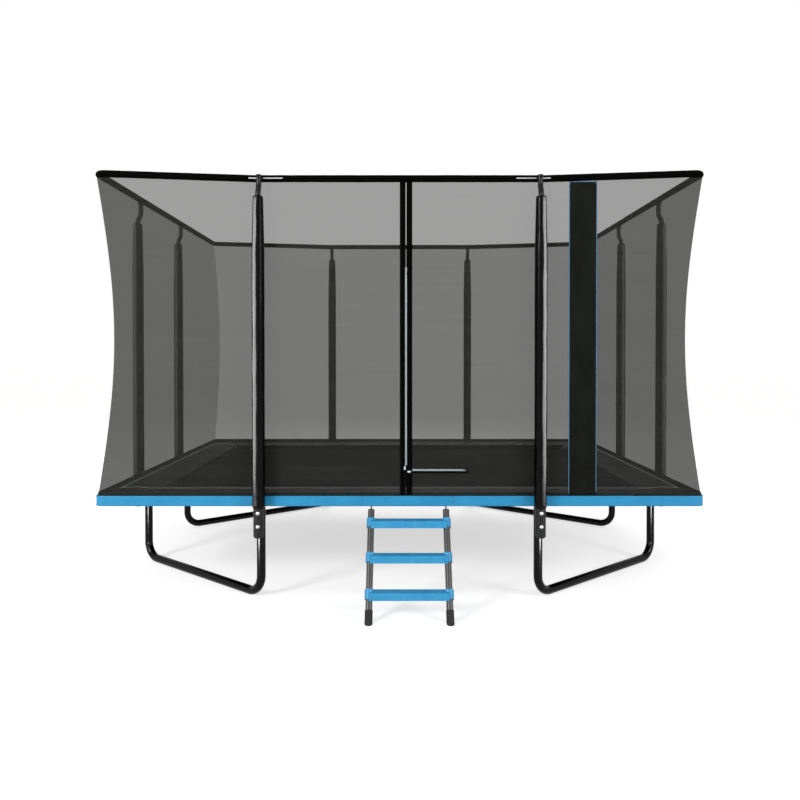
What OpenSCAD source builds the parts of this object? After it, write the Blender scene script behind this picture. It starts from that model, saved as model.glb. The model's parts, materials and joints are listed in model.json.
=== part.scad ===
// Rectangular garden trampoline: a sprung mat in a tubular frame on four corner legs,
// eight padded poles that carry a net enclosure with a zipped door, and a hook-on ladder.
// Millimetres, +Z up. The origin is on the floor at the centre of the whole footprint.
// The ladder and the door face -Y.

/* [Frame] */
// Width over the edge band
frame_w = 3050; // [2700:10:3600]
// Depth over the edge band, front to back
frame_d = 2130; // [1900:10:2600]
// Height of the pads' outer edge above the floor
bed_h = 515; // [480:5:700]
// Diameter of the frame rails
rail_d = 34; // [30:1:38]
// Bend radius of the frame's corners, at the tube's centre line
rail_bend_r = 60; // [50:5:100]
// Length of the sleeve that joins two rails over a leg
tee_l = 150; // [110:5:200]
// How far the stub under each sleeve reaches into the leg
stub_l = 60; // [45:5:62]
// Wall of the steel tubes
tube_wall = 2; // [1.5:0.1:3]

/* [Legs] */
// Diameter of the leg tube
leg_d = 44; // [38:1:48]
// Bend radius of the legs, at the tube's centre line
leg_bend_r = 90; // [80:5:150]
// Distance of the front posts from the middle
front_post_x = 695; // [560:5:780]
// Distance of the back posts from the middle
back_post_x = 555; // [500:5:800]
// Distance of the nearer side posts from the front edge
side_post_near = 660; // [500:5:800]
// Distance of the farther side posts from the front edge
side_post_far = 1380; // [1200:5:1500]

/* [Enclosure] */
// Height of the enclosure's top edge at its corners
top_h = 2140; // [1900:10:2500]
// How far the front and back top rails sag in the middle
top_sag = 25; // [10:1:50]
// Diameter of the top rails
top_rail_d = 26; // [22:1:30]
// Bend radius of the top ring's corners, at the tube's centre line
top_bend_r = 35; // [30:1:60]
// Length of the narrowed ends that plug one top rail into the next
swage_l = 24; // [16:1:28]
// Thickness of the hem that sleeves the top rails
hem_t = 4; // [2:0.5:6]
// Diameter of the poles
pole_d = 38; // [34:1:42]
// Diameter of the poles' upper ends
pole_top_d = 27; // [22:1:30]
// Thickness of the foam sleeves
foam_t = 12.5; // [8:0.5:18]
// Height of the foam sleeves' upper end
foam_top = 2000; // [1700:10:2020]
// Length of the boots at the poles' feet
boot_l = 148; // [120:1:160]
// Height at which the poles step down to their upper diameter
pole_step_z = 1730; // [1400:10:1780]
// Bend radius of the poles' upper ends
pole_bend_r = 60; // [40:5:90]
// Thickness of the net panels
net_t = 2.5; // [1.5:0.5:4]
// How far the net draws in at its corners, half way up
net_bow = 58; // [20:2:90]

/* [Door] */
// Place of the upright zip, from the middle
zip_x = 32; // [0:2:80]
// Height of the upright zip's top end
zip_top = 1655; // [1400:5:1800]
// Height of the door's sill
sill_z = 645; // [600:5:750]
// Length of the zip along the sill
sill_l = 300; // [220:10:400]
// Width of the black strip on each side of the zip
strip_w = 30; // [20:1:45]
// Width of the dark upright panel beside the door
banner_w = 136; // [100:2:160]
// Distance of that panel from the middle
banner_x = 845; // [830:5:850]

/* [Bed] */
// Thickness of the pads at their edges
pad_t = 10; // [8:0.5:11]
// Width of the pads
pad_w = 250; // [235:5:300]
// How far the pads are crowned
pad_crown = 8; // [4:0.5:14]
// Thickness of the edge band
band_t = 3; // [2:0.5:4]
// Outer corner radius of the edge band
band_r = 40; // [30:1:60]
// Thickness of the jumping mat
mat_t = 2.5; // [2:0.5:4]
// Length of the springs between their hooks' ends
spring_l = 140; // [120:5:160]
// Diameter of the springs
spring_d = 20; // [16:1:24]
// Number of springs on the front and on the back
springs_long = 20; // [16:1:24]
// Number of springs on each side
springs_short = 13; // [10:1:16]

/* [Ladder] */
// Place of the ladder's middle, from the trampoline's middle
ladder_x = 45; // [20:5:60]
// Distance between the stiles
ladder_w = 372; // [340:2:420]
// Diameter of the stiles
stile_d = 32; // [28:1:36]
// Distance of the ladder's feet in front of the front rail
ladder_reach = 330; // [250:5:400]
// Distance between the steps, along the stiles
step_gap = 172; // [150:2:190]
// Height of the steps' front face
step_h = 34; // [28:1:40]
// Depth of the steps
step_depth = 64; // [60:1:90]

/* [Hidden] */

// Clearance between pieces that fit into or rest on each other
fit = 0.3;
round_fn = 48;

hw = frame_w / 2;
hd = frame_d / 2;
rail_in = band_t + 7 + rail_d / 2;          // rail centre line, from the band's outer face
tee_r = rail_d / 2 + fit + 2.3;
rail_z = bed_h - pad_t - fit - tee_r;
band_low = rail_z - rail_d / 2 - 1;
leg_top = rail_z - tee_r - fit;

foam_r = pole_d / 2 + foam_t;
foam_top_r = pole_top_d / 2 + foam_t;
pole_y = -foam_r - 0.5;                      // pole centre line, out from the band's face
boot_r = pole_d / 2 + 7;
boot_top = leg_top + 1;
boot_low = boot_top - boot_l;
foam_low = boot_top + 1.5;
bolt_d = 8;
bolt_hole_d = bolt_d + 2 * fit;
bolt_in = 22;
bolt_gap = 66;
bolt_head_r = 11;
nut_w = 15;
nut_h = 7;
thread_end = 3;
top_bolt_d = 6;
top_bolt_hole_d = top_bolt_d + 2 * fit;
top_nut_w = 11;
top_nut_h = 4;
top_head_h = 3.5;
bolt_zs = [boot_top - bolt_in, boot_top - bolt_in - bolt_gap];

hem_r = top_rail_d / 2 + fit + hem_t;
top_in = hem_r;                              // top rail centre line, in from the band's face
top_hx = hw - top_in;
top_hy = hd - top_in;
top_corner_z = top_h - hem_r;
top_low_z = top_corner_z - top_sag;
// The long top rails are level up to a joint just past each pole, and slope up from there
function joint_x(post_x) = post_x + 30;
function top_z(x, post_x) =
    let (j = joint_x(post_x))
    top_low_z + top_sag * min(1, max(0, (abs(x) - j) / (top_hx - top_bend_r - j)));
pole_top_y = top_in - hem_r - fit - pole_top_d / 2;
bend_a = acos(1 - (pole_top_y - pole_y) / (2 * pole_bend_r));
bend_z = foam_top + 4;
bend_h = 2 * pole_bend_r * sin(bend_a);
swage_play = 1;
swage_collar = 2;
slope_gap = 0.7;
pole_below = 9;                              // pole's top end, below the hem's top
cap_h = 3;
cap_plug = 4;
slot_h = 9;
slot_in = 100;
slot_out = 40;
swage_wall = 1.5;

net_in = top_in - net_t / 2;                 // net's outer face, in from the band's face
strip_t = 2.5;
tape_w = 15;
strip_in = net_in - fit - strip_t;
bow_from_x = banner_x + banner_w + 15;
bow_from_y = hd * 0.5;

pad_in = band_t + fit;
mat_in = rail_in + rail_d / 2 + fit + spring_l + fit + 28;

lean = atan(ladder_reach / rail_z);
stile_l = rail_z / cos(lean);
foot_r = stile_d / 2 + fit + 2;
foot_h = 40;
foot_socket = 24;
hook_w = 24;

// Each post: where it meets the band's outer face, and how its frame is turned, with -Y outwards
POSTS = [
    [-front_post_x, -hd, 0], [front_post_x, -hd, 0],
    [-back_post_x, hd, 180], [back_post_x, hd, 180],
    [-hw, side_post_near - hd, -90], [-hw, side_post_far - hd, -90],
    [hw, side_post_near - hd, 90], [hw, side_post_far - hd, 90]
];
// Height of the top rail's centre at a post
function post_top_z(i) = i < 4 ? top_low_z : top_corner_z;

// The footprint runs from the ladder's feet to the back poles' foam
front_reach = hd - rail_in + ladder_reach + foot_r / cos(lean);
back_reach = hd - pole_y + foam_r;
shift_y = (front_reach - back_reach) / 2;

module placed() translate([0, shift_y, 0]) children();
module at_post(i) translate([POSTS[i][0], POSTS[i][1], 0]) rotate([0, 0, POSTS[i][2]]) children();

module ring(d, wall) difference() {
    circle(d = d, $fn = round_fn);
    circle(d = d - 2 * wall, $fn = round_fn);
}

// A bend of tube in the YZ plane about the origin, from +Y towards +Z
module bend_yz(r, d, wall, a)
    rotate([90, 0, 90]) rotate_extrude(angle = a, $fn = 96) translate([r, 0]) ring(d, wall);

module bar_x(d, x0, x1) translate([x0, 0, 0]) rotate([0, 90, 0]) cylinder(d = d, h = x1 - x0, $fn = round_fn);
module bar_y(d, y0, y1)
    translate([0, y0, 0]) rotate([-90, 0, 0]) cylinder(d = d, h = y1 - y0, $fn = round_fn);

// ---- Frame rails ----

module rail_x(x0, x1, y)
    translate([0, y, rail_z])
        difference() {
            bar_x(rail_d, x0, x1);
            bar_x(rail_d - 2 * tube_wall, x0 - 1, x1 + 1);
        }

module rail_y(y0, y1, x)
    translate([x, 0, rail_z])
        difference() {
            bar_y(rail_d, y0, y1);
            bar_y(rail_d - 2 * tube_wall, y0 - 1, y1 + 1);
        }

// The rails meet in the middle of each sleeve
module rail_front() placed() color("#1b1c1b") rail_x(1 - front_post_x, front_post_x - 1, rail_in - hd);
module rail_back() placed() color("#1b1c1b") rail_x(1 - back_post_x, back_post_x - 1, hd - rail_in);
module rail_sides() placed() color("#1b1c1b") for (side = [-1, 1])
    rail_y(side_post_near - hd + 1, side_post_far - hd - 1, side * (hw - rail_in));

// A corner rail in the quarter where x and y are positive, with its arms' lengths from the corner
module corner_bar(d, arm_x, arm_y, more) {
    r = rail_bend_r;
    cx = hw - rail_in;
    cy = hd - rail_in;
    translate([cx - r, cy - r, 0]) rotate_extrude(angle = 90, $fn = 96)
        translate([r, 0]) circle(d = d, $fn = round_fn);
    translate([0, cy, 0]) bar_x(d, cx - arm_x - more, cx - r);
    translate([cx, 0, 0]) bar_y(d, cy - arm_y - more, cy - r);
}

module rail_corner(right, back, arm_x, arm_y)
    placed() color("#1b1c1b") mirror([right ? 0 : 1, 0, 0]) mirror([0, back ? 0 : 1, 0])
        translate([0, 0, rail_z]) difference() {
            corner_bar(rail_d, arm_x, arm_y, 0);
            corner_bar(rail_d - 2 * tube_wall, arm_x, arm_y, 1);
        }

module rail_corner_fl()
    rail_corner(false, false, hw - rail_in - front_post_x - 1, side_post_near - rail_in - 1);
module rail_corner_fr()
    rail_corner(true, false, hw - rail_in - front_post_x - 1, side_post_near - rail_in - 1);
module rail_corner_bl()
    rail_corner(false, true, hw - rail_in - back_post_x - 1, frame_d - side_post_far - rail_in - 1);
module rail_corner_br()
    rail_corner(true, true, hw - rail_in - back_post_x - 1, frame_d - side_post_far - rail_in - 1);

// Sleeves that join the rails, each with a stub that plugs into a leg
module tee_joint()
    translate([0, rail_in, 0]) difference() {
        union() {
            translate([0, 0, rail_z]) bar_x(2 * tee_r, -tee_l / 2, tee_l / 2);
            translate([0, 0, leg_top - stub_l])
                cylinder(d = leg_d - 2 * tube_wall - 2 * fit, h = rail_z - leg_top + stub_l, $fn = round_fn);
        }
        translate([0, 0, rail_z]) bar_x(rail_d + 2 * fit, -tee_l, tee_l);
        translate([0, 0, leg_top - stub_l - 1])
            cylinder(d = leg_d - 4 * tube_wall - 2 * fit, h = rail_z - leg_top + stub_l, $fn = round_fn);
        translate([0, 0, bolt_zs[0]]) bar_y(bolt_hole_d, -leg_d, leg_d);
    }
module tee_joints() placed() color("#1b1c1b") for (i = [0:7]) at_post(i) tee_joint();

// ---- Legs ----

// One half of a U, from the middle of its floor tube to the top of its upright
module half_leg(half) {
    r = leg_bend_r;
    low = leg_d / 2;
    translate([r - half, 0, low]) {
        rotate([0, 90, 0]) linear_extrude(half - r) ring(leg_d, tube_wall);
        translate([0, 0, r]) {
            rotate([90, 0, 0]) mirror([1, 0, 0]) mirror([0, 1, 0])
                rotate_extrude(angle = 90, $fn = 96) translate([r, 0]) ring(leg_d, tube_wall);
            translate([-r, 0, 0]) linear_extrude(leg_top - low - r) ring(leg_d, tube_wall);
        }
    }
}

// A U in the vertical plane through p and q, the feet of its two uprights
module leg_tube(p, q)
    translate([(p[0] + q[0]) / 2, (p[1] + q[1]) / 2, 0])
        rotate([0, 0, atan2(q[1] - p[1], q[0] - p[0])]) {
            half_leg(norm(q - p) / 2);
            mirror([1, 0, 0]) half_leg(norm(q - p) / 2);
        }

function leg_foot(i) =
    let (a = POSTS[i][2])
    [POSTS[i][0] - sin(a) * rail_in, POSTS[i][1] + cos(a) * rail_in];

module leg(i, j)
    placed() color("#1b1c1b") difference() {
        leg_tube(leg_foot(i), leg_foot(j));
        for (k = [i, j], z = bolt_zs)
            at_post(k) translate([0, rail_in, z]) bar_y(bolt_hole_d, -leg_d, leg_d);
    }
module leg_fl() leg(4, 0);
module leg_fr() leg(1, 6);
module leg_bl() leg(5, 2);
module leg_br() leg(3, 7);

// ---- Poles ----

// The pole steps down under its foam, leans in above it and ends upright beside the top rail.
// The upper bend is drawn a hair thinner and runs a little into the lower one.
module pole_tube(low, high) {
    r0 = pole_d / 2;
    r1 = pole_top_d / 2;
    hair = 0.1;
    translate([0, pole_y, 0]) {
        rotate_extrude($fn = round_fn) polygon([
            [r0 - tube_wall, low], [r0, low], [r0, pole_step_z], [r1, pole_step_z + 16], [r1, bend_z],
            [r1 - tube_wall, bend_z], [r1 - tube_wall, pole_step_z + 16], [r0 - tube_wall, pole_step_z]
        ]);
        translate([0, pole_bend_r, bend_z]) mirror([0, 1, 0])
            bend_yz(pole_bend_r, pole_top_d, tube_wall, bend_a);
        translate([0, pole_top_y - pole_y - pole_bend_r, bend_z + bend_h]) {
            mirror([0, 0, 1]) bend_yz(pole_bend_r, pole_top_d - 2 * hair, tube_wall, bend_a + 1);
            translate([0, pole_bend_r, 0]) linear_extrude(high - bend_z - bend_h)
                ring(pole_top_d - 2 * hair, tube_wall);
        }
    }
}

module pole(i)
    placed() color("#222322") at_post(i) difference() {
        pole_tube(boot_low + 6, post_top_z(i) + hem_r - pole_below);
        for (z = bolt_zs) translate([0, pole_y, z]) bar_y(bolt_hole_d, -pole_d, pole_d);
        translate([0, pole_top_y, post_top_z(i)]) bar_y(top_bolt_hole_d, -pole_d, pole_d);
    }
module pole_front_l() pole(0);
module pole_front_r() pole(1);
module pole_back_l() pole(2);
module pole_back_r() pole(3);
module pole_left_f() pole(4);
module pole_left_b() pole(5);
module pole_right_f() pole(6);
module pole_right_b() pole(7);

// Foam sleeves, drawn in a little where the pole steps down
module foam(i)
    at_post(i) translate([0, pole_y, 0]) rotate_extrude($fn = round_fn) polygon([
        [pole_d / 2 + fit, foam_low], [foam_r, foam_low], [foam_r, pole_step_z],
        [foam_top_r, foam_top], [pole_top_d / 2 + fit, foam_top],
        [pole_top_d / 2 + fit, pole_step_z + 18], [pole_d / 2 + fit, pole_step_z]
    ]);
module foam_front() placed() color("#2a2b2a") for (i = [0, 1]) foam(i);
module foam_back() placed() color("#2a2b2a") for (i = [2, 3]) foam(i);
module foam_left() placed() color("#2a2b2a") for (i = [4, 5]) foam(i);
module foam_right() placed() color("#2a2b2a") for (i = [6, 7]) foam(i);

// A boot takes each pole's foot and seats against the leg with a saddle
module pole_boot() {
    saddle_w = 26;
    difference() {
        union() {
            translate([0, pole_y, 0]) rotate_extrude($fn = round_fn) difference() {
                union() {
                    translate([0, boot_low + 12]) square([boot_r, boot_top - boot_low - 12]);
                    translate([0, boot_low]) square([boot_r - 12, 13]);
                    translate([boot_r - 12, boot_low + 12]) circle(r = 12, $fn = round_fn);
                }
                translate([-boot_r, boot_low - 1]) square([boot_r, boot_top]);
            }
            translate([-saddle_w / 2, pole_y, boot_low + 16])
                cube([saddle_w, rail_in - pole_y, boot_top - boot_low - 22]);
        }
        translate([0, pole_y, boot_low + 6 - fit])
            cylinder(d = pole_d + 2 * fit, h = boot_top, $fn = round_fn);
        translate([0, rail_in, 0]) cylinder(d = leg_d + 2 * fit, h = boot_top * 2, $fn = round_fn);
        for (z = bolt_zs) translate([0, 0, z]) bar_y(bolt_hole_d, pole_y - boot_r - 1, rail_in);
    }
}
module pole_boots() placed() color("#141514") for (i = [0:7]) at_post(i) pole_boot();

// Round-headed bolts through boot, pole and leg, with their nuts drawn up
module pole_bolt() {
    head = pole_y - boot_r;
    nut = rail_in + leg_d / 2;
    r = bolt_head_r;
    bar_y(bolt_d, head - 1, nut + nut_h + thread_end);
    difference() {
        translate([0, head + r / 2, 0]) sphere(r = r, $fn = round_fn);
        translate([-2 * r, head, -2 * r]) cube(4 * r);
    }
    translate([0, nut, 0]) rotate([-90, 0, 0]) cylinder(d = nut_w, h = nut_h, $fn = 6);
}
module pole_bolts() placed() color("silver")
    for (i = [0:7], z = bolt_zs) at_post(i) translate([0, 0, z]) pole_bolt();

// Domed plugs in the poles' top ends
module pole_caps() placed() color("#141514")
    for (i = [0:7]) at_post(i) translate([0, pole_top_y, post_top_z(i) + hem_r - pole_below]) {
        translate([0, 0, fit / 10]) cylinder(d = pole_top_d, h = cap_h, $fn = round_fn);
        translate([0, 0, -cap_plug])
            cylinder(d = pole_top_d - 2 * tube_wall - 4 * fit, h = cap_plug + 1, $fn = round_fn);
    }

// Bolts through each pole's top, the hem and the top rail
module top_bolts() placed() color("silver")
    for (i = [0:7]) at_post(i) translate([0, 0, post_top_z(i)]) {
        bar_y(top_bolt_d, pole_top_y - pole_top_d / 2 - 1, top_in + hem_r + top_nut_h + 1);
        bar_y(2 * top_bolt_d, pole_top_y - pole_top_d / 2 - top_head_h, pole_top_y - pole_top_d / 2);
        translate([0, top_in + hem_r, 0]) rotate([-90, 0, 0]) cylinder(d = top_nut_w, h = top_nut_h, $fn = 6);
    }

// ---- Top rails and hem ----

module top_bolt_holes(posts)
    for (i = posts) at_post(i) translate([0, 0, post_top_z(i)]) bar_y(top_bolt_hole_d, -1, 2 * top_in + 1);

// Places children at the start of each sloping length, running along +X
module at_slopes(post_x) {
    j = joint_x(post_x);
    slope = atan(top_sag / (top_hx - top_bend_r - j));
    for (m = [0, 1]) mirror([m, 0, 0]) translate([j, 0, top_low_z]) rotate([0, -slope, 0]) children();
}
function slope_l(post_x) = norm([top_hx - top_bend_r - joint_x(post_x), top_sag]);

// A long top rail is a level tube whose narrowed ends plug into two sloping ones
module top_rail_long(side, post_x, posts) {
    r = top_rail_d / 2;
    rs = r - tube_wall - swage_play;
    end = joint_x(post_x);
    placed() color("#b9bdbf") translate([0, side * top_hy, 0]) {
        difference() {
            translate([0, 0, top_low_z]) rotate([0, 90, 0]) rotate_extrude($fn = round_fn) polygon([
                [rs - swage_wall, -end - swage_l], [rs, -end - swage_l], [rs, -end], [r, -end],
                [r, end], [rs, end], [rs, end + swage_l], [rs - swage_wall, end + swage_l],
                [rs - swage_wall, end - 4], [r - tube_wall, end - 8], [r - tube_wall, 8 - end],
                [rs - swage_wall, 4 - end]
            ]);
            translate([0, -side * top_hy, 0]) top_bolt_holes(posts);
        }
        at_slopes(post_x) translate([slope_gap, 0, 0]) rotate([0, 90, 0])
            linear_extrude(slope_l(post_x) - 2 * slope_gap - swage_collar) ring(top_rail_d, tube_wall);
    }
}
module top_rail_front() top_rail_long(-1, front_post_x, [0, 1]);
module top_rail_back() top_rail_long(1, back_post_x, [2, 3]);

module top_rail_short(side, posts) {
    reach = top_hy - top_bend_r - swage_collar - fit;
    placed() color("#b9bdbf") difference() {
        translate([side * top_hx, -reach, top_corner_z]) rotate([-90, 0, 0])
            linear_extrude(2 * reach) ring(top_rail_d, tube_wall);
        top_bolt_holes(posts);
    }
}
module top_rail_left() top_rail_short(-1, [4, 5]);
module top_rail_right() top_rail_short(1, [6, 7]);

// A narrowed end with a collar, along +Z
module swage() {
    r = top_rail_d / 2;
    rs = r - tube_wall - swage_play;
    rotate_extrude($fn = round_fn) polygon([
        [rs - swage_wall, 0], [r, 0], [r, swage_collar], [rs, swage_collar],
        [rs, swage_collar + swage_l], [rs - swage_wall, swage_collar + swage_l]
    ]);
}

module top_elbow()
    translate([top_hx - top_bend_r, top_hy - top_bend_r, top_corner_z]) {
        rotate_extrude(angle = 90, $fn = 96) translate([top_bend_r, 0]) ring(top_rail_d, tube_wall);
        translate([0, top_bend_r, 0]) rotate([0, -90, 0]) swage();
        translate([top_bend_r, 0, 0]) rotate([90, 0, 0]) swage();
    }
module top_elbows()
    placed() color("#b9bdbf") for (m = [0, 1], n = [0, 1]) mirror([m, 0, 0]) mirror([0, n, 0]) top_elbow();

// The hem sleeves the rails length by length. It is slit beside the front poles, where the rail shows.
module top_hem()
    placed() color("#0f100f") difference() {
        union() {
            for (side = [-1, 1]) {
                post_x = side < 0 ? front_post_x : back_post_x;
                translate([1 - joint_x(post_x), side * top_hy, top_low_z]) rotate([0, 90, 0])
                    linear_extrude(2 * joint_x(post_x) - 2) ring(2 * hem_r, hem_t);
                translate([0, side * top_hy, 0]) at_slopes(post_x) translate([1, 0, 0]) rotate([0, 90, 0])
                    linear_extrude(slope_l(post_x) - 2) ring(2 * hem_r, hem_t);
                translate([side * top_hx, top_bend_r - top_hy, top_corner_z]) rotate([-90, 0, 0])
                    linear_extrude(2 * (top_hy - top_bend_r)) ring(2 * hem_r, hem_t);
            }
            for (m = [0, 1], n = [0, 1]) mirror([m, 0, 0]) mirror([0, n, 0])
                translate([top_hx - top_bend_r, top_hy - top_bend_r, top_corner_z])
                    rotate_extrude(angle = 90, $fn = 96) translate([top_bend_r, 0]) ring(2 * hem_r, hem_t);
        }
        top_bolt_holes([0:7]);
        for (m = [0, 1]) mirror([m, 0, 0]) {
            translate([front_post_x - pole_top_d / 2 - slot_in - 2, -hd - 1, top_low_z - slot_h / 2])
                cube([slot_in, hem_t + 2, slot_h]);
            translate([front_post_x + pole_top_d / 2 + 2, -hd - 1, top_low_z - slot_h / 2])
                cube([slot_out, hem_t + 2, slot_h]);
        }
    }

// ---- Net ----

// How much of the corner's draw-in a point has, u from the wall's middle
function bow_share(u, from, end) = abs(u) <= from ? 0 : pow((abs(u) - from) / (end - from), 2);

// A wall of net in a frame with -Y outwards, as one closed sheet of triangles on columns at us.
// end is the wall's half length, from is where its corners begin to draw in, and post_x is
// where its top rail kinks, or 0 for a straight one.
module net_wall(us, end, from, post_x) {
    rows = 8;
    cols = len(us) - 1;
    reach = end - fit / 2;
    function low() = bed_h + fit;
    function high(u) = (post_x ? top_z(u, post_x) : top_corner_z) - hem_r - 2 * fit;
    function spot(i, j, inner) =
        let (u = us[i], w = bow_share(u, from, reach), v = j / rows)
        let (draw = (net_bow * sin(180 * v) + (inner ? net_t : 0)) * w)
        [u - sign(u) * draw, net_bow * sin(180 * v) * w + (inner ? net_t : 0),
            low() + (high(u) - low()) * v];
    points = [for (s = [false, true], i = [0:cols], j = [0:rows]) spot(i, j, s)];
    n = (cols + 1) * (rows + 1);
    function at(s, i, j) = s * n + i * (rows + 1) + j;
    function two(a, b, c, d) = [[a, b, c], [a, c, d]];
    faces = concat(
        [for (i = [0:cols - 1], j = [0:rows - 1])
            each two(at(0, i, j), at(0, i, j + 1), at(0, i + 1, j + 1), at(0, i + 1, j))],
        [for (i = [0:cols - 1], j = [0:rows - 1])
            each two(at(1, i, j), at(1, i + 1, j), at(1, i + 1, j + 1), at(1, i, j + 1))],
        [for (i = [0:cols - 1])
            each two(at(0, i, 0), at(0, i + 1, 0), at(1, i + 1, 0), at(1, i, 0))],
        [for (i = [0:cols - 1])
            each two(at(0, i + 1, rows), at(0, i, rows), at(1, i, rows), at(1, i + 1, rows))],
        [for (j = [0:rows - 1])
            each two(at(0, 0, j + 1), at(0, 0, j), at(1, 0, j), at(1, 0, j + 1))],
        [for (j = [0:rows - 1])
            each two(at(0, cols, j), at(0, cols, j + 1), at(1, cols, j + 1), at(1, cols, j))]
    );
    polyhedron(points = points, faces = faces);
}

wall_x = hw - net_in;
wall_y = hd - net_in;
zip_gap = 1;

// Columns that crowd towards the corner, from where its draw-in begins
function corner_cols(from, end) = [for (k = [0:5]) from + (end - from) * k / 5];
function mirrored(list) = [for (k = [len(list) - 1:-1:0]) -list[k]];

front_cols = concat([joint_x(front_post_x)], corner_cols(bow_from_x, wall_x - fit / 2));
back_cols = concat([joint_x(back_post_x)], corner_cols(bow_from_x, wall_x - fit / 2));
side_cols = corner_cols(bow_from_y, wall_y - fit / 2);

module net_front_l() placed() color([0.3, 0.31, 0.3, 0.6])
    translate([0, net_in - hd, 0])
        net_wall(concat(mirrored(front_cols), [zip_x - zip_gap]), wall_x, bow_from_x, front_post_x);

module net_front_r() placed() color([0.3, 0.31, 0.3, 0.6])
    difference() {
        translate([0, net_in - hd, 0])
            net_wall(concat([zip_x + zip_gap], front_cols), wall_x, bow_from_x, front_post_x);
        door_prism(zip_gap, net_in - 5, 20);
    }

module net_back() placed() color([0.3, 0.31, 0.3, 0.6])
    translate([0, hd - net_in, 0]) rotate([0, 0, 180])
        net_wall(concat(mirrored(back_cols), back_cols), wall_x, bow_from_x, back_post_x);

module net_side(side)
    placed() color([0.3, 0.31, 0.3, 0.6])
        translate([side * wall_x, 0, 0]) rotate([0, 0, side * 90])
            net_wall(concat(mirrored(side_cols), side_cols), wall_y, bow_from_y, 0);
module net_left() net_side(-1);
module net_right() net_side(1);

// ---- Door ----

// The door is the corner of net below and beside the zip. It folds out along the line
// between the zip's two ends, and its two sharp tips stop short of them so that they can turn.
tip_up = 12 * net_t;                          // from the upright zip's top
tip_side = 4 * net_t;                         // from the end of the zip along the sill
module door_prism(grow, y, t) {
    x0 = zip_x + zip_gap;
    z0 = sill_z;
    slope = (zip_top - sill_z) / sill_l;
    fold = grow * sqrt(1 + slope * slope);    // how far the grown fold line rises
    x1 = x0 + sill_l - tip_side + grow;
    z1 = zip_top - tip_up + grow;
    translate([0, y - hd + t, 0]) rotate([90, 0, 0]) linear_extrude(t) polygon([
        [x0 - 2 * grow, z0 - grow],
        [x1, z0 - grow],
        [x1, zip_top + fold - (x1 - x0) * slope],
        [x0 + (zip_top + fold - z1) / slope, z1],
        [x0 - 2 * grow, z1]
    ]);
}

module door_flap()
    placed() color([0.3, 0.31, 0.3, 0.6]) {
        door_prism(0, net_in, net_t);
        intersection() {
            door_prism(0, strip_in, strip_t + fit + 0.1);
            translate([zip_x + zip_gap, strip_in - hd, sill_z])
                cube([strip_w, strip_t + fit + 0.1, zip_top - sill_z]);
        }
    }

// Black strips beside the zip, less the part that the door carries, and the tape below the sill
module zip_strips() {
    low = bed_h + fit;
    high = top_low_z - hem_r - 2 * fit;
    placed() color("#070807") difference() {
        for (x = [zip_x - zip_gap - strip_w, zip_x + zip_gap])
            translate([x, strip_in - hd, low]) cube([strip_w, strip_t, high - low]);
        translate([zip_x + zip_gap, strip_in - hd, sill_z - tape_w])
            cube([sill_l + 10, strip_t, tape_w]);
        door_prism(zip_gap, strip_in - 5, 20);
    }
}

module banner() placed() color("#1b1d1a")
    translate([banner_x, net_in - fit - 2 - hd, bed_h + fit])
        cube([banner_w, 2, top_z(banner_x, front_post_x) - hem_r - 2 * fit - bed_h - fit]);

// A zip slider: a rounded body with its pull beside the zip
module slider_body(w, h, t)
    rotate([90, 0, 0]) linear_extrude(t) hull() {
        translate([w / 2, w / 2]) circle(d = w, $fn = 24);
        translate([w / 2, h - w / 2]) circle(d = w * 0.8, $fn = 24);
    }

module zip_slider_up() placed() color("#cfe0ea")
    translate([zip_x - 11, strip_in - fit - hd, sill_z + 2]) slider_body(10, 20, 5);
module zip_slider_side() placed() color("#cfe0ea")
    translate([zip_x + 6, strip_in - fit - hd, sill_z - 2]) rotate([0, 90, 0]) slider_body(10, 20, 5);

// ---- Bed ----

module rounded_plan(w, d, r) {
    square([w - 2 * r, d], center = true);
    square([w, d - 2 * r], center = true);
    for (x = [-1, 1], y = [-1, 1])
        translate([x * (w / 2 - r), y * (d / 2 - r)]) circle(r = r, $fn = 64);
}

// A pad over the springs of one side, half its length given, in a frame with -Y outwards
module pad(half) {
    margin = 24;
    steps = 8;
    crown_w = pad_w - pad_in - 2 * margin;
    section = concat(
        [[pad_in, bed_h - pad_t], [pad_in, bed_h]],
        [for (k = [0:steps])
            [pad_in + margin + crown_w * k / steps, bed_h + pad_crown * sin(180 * k / steps)]],
        [[pad_w, bed_h], [pad_w, bed_h - pad_t]]
    );
    intersection() {
        rotate([90, 0, 90]) translate([0, 0, -half]) linear_extrude(2 * half) polygon(section);
        translate([0, 0, bed_h - pad_t - 1]) linear_extrude(pad_t + pad_crown + 2) polygon([
            [pad_in - half + fit, pad_in], [half - pad_in - fit, pad_in],
            [half - pad_w - fit, pad_w], [pad_w - half + fit, pad_w]
        ]);
    }
}

module pad_side(i)
    placed() color("#191a19") intersection() {
        rotate([0, 0, [0, 180, -90, 90][i]]) translate([0, i < 2 ? -hd : -hw, 0]) pad(i < 2 ? hw : hd);
        translate([0, 0, bed_h - pad_t - 1]) linear_extrude(pad_t + pad_crown + 2)
            rounded_plan(frame_w - 2 * pad_in, frame_d - 2 * pad_in, band_r - pad_in);
    }
module pad_front() pad_side(0);
module pad_back() pad_side(1);
module pad_left() pad_side(2);
module pad_right() pad_side(3);

// The blue band round the frame's edge. Over the ladder's hooks it is a loose flap.
flap_x0 = ladder_x - ladder_w / 2 - 40;
flap_w = ladder_w + 80;

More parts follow.
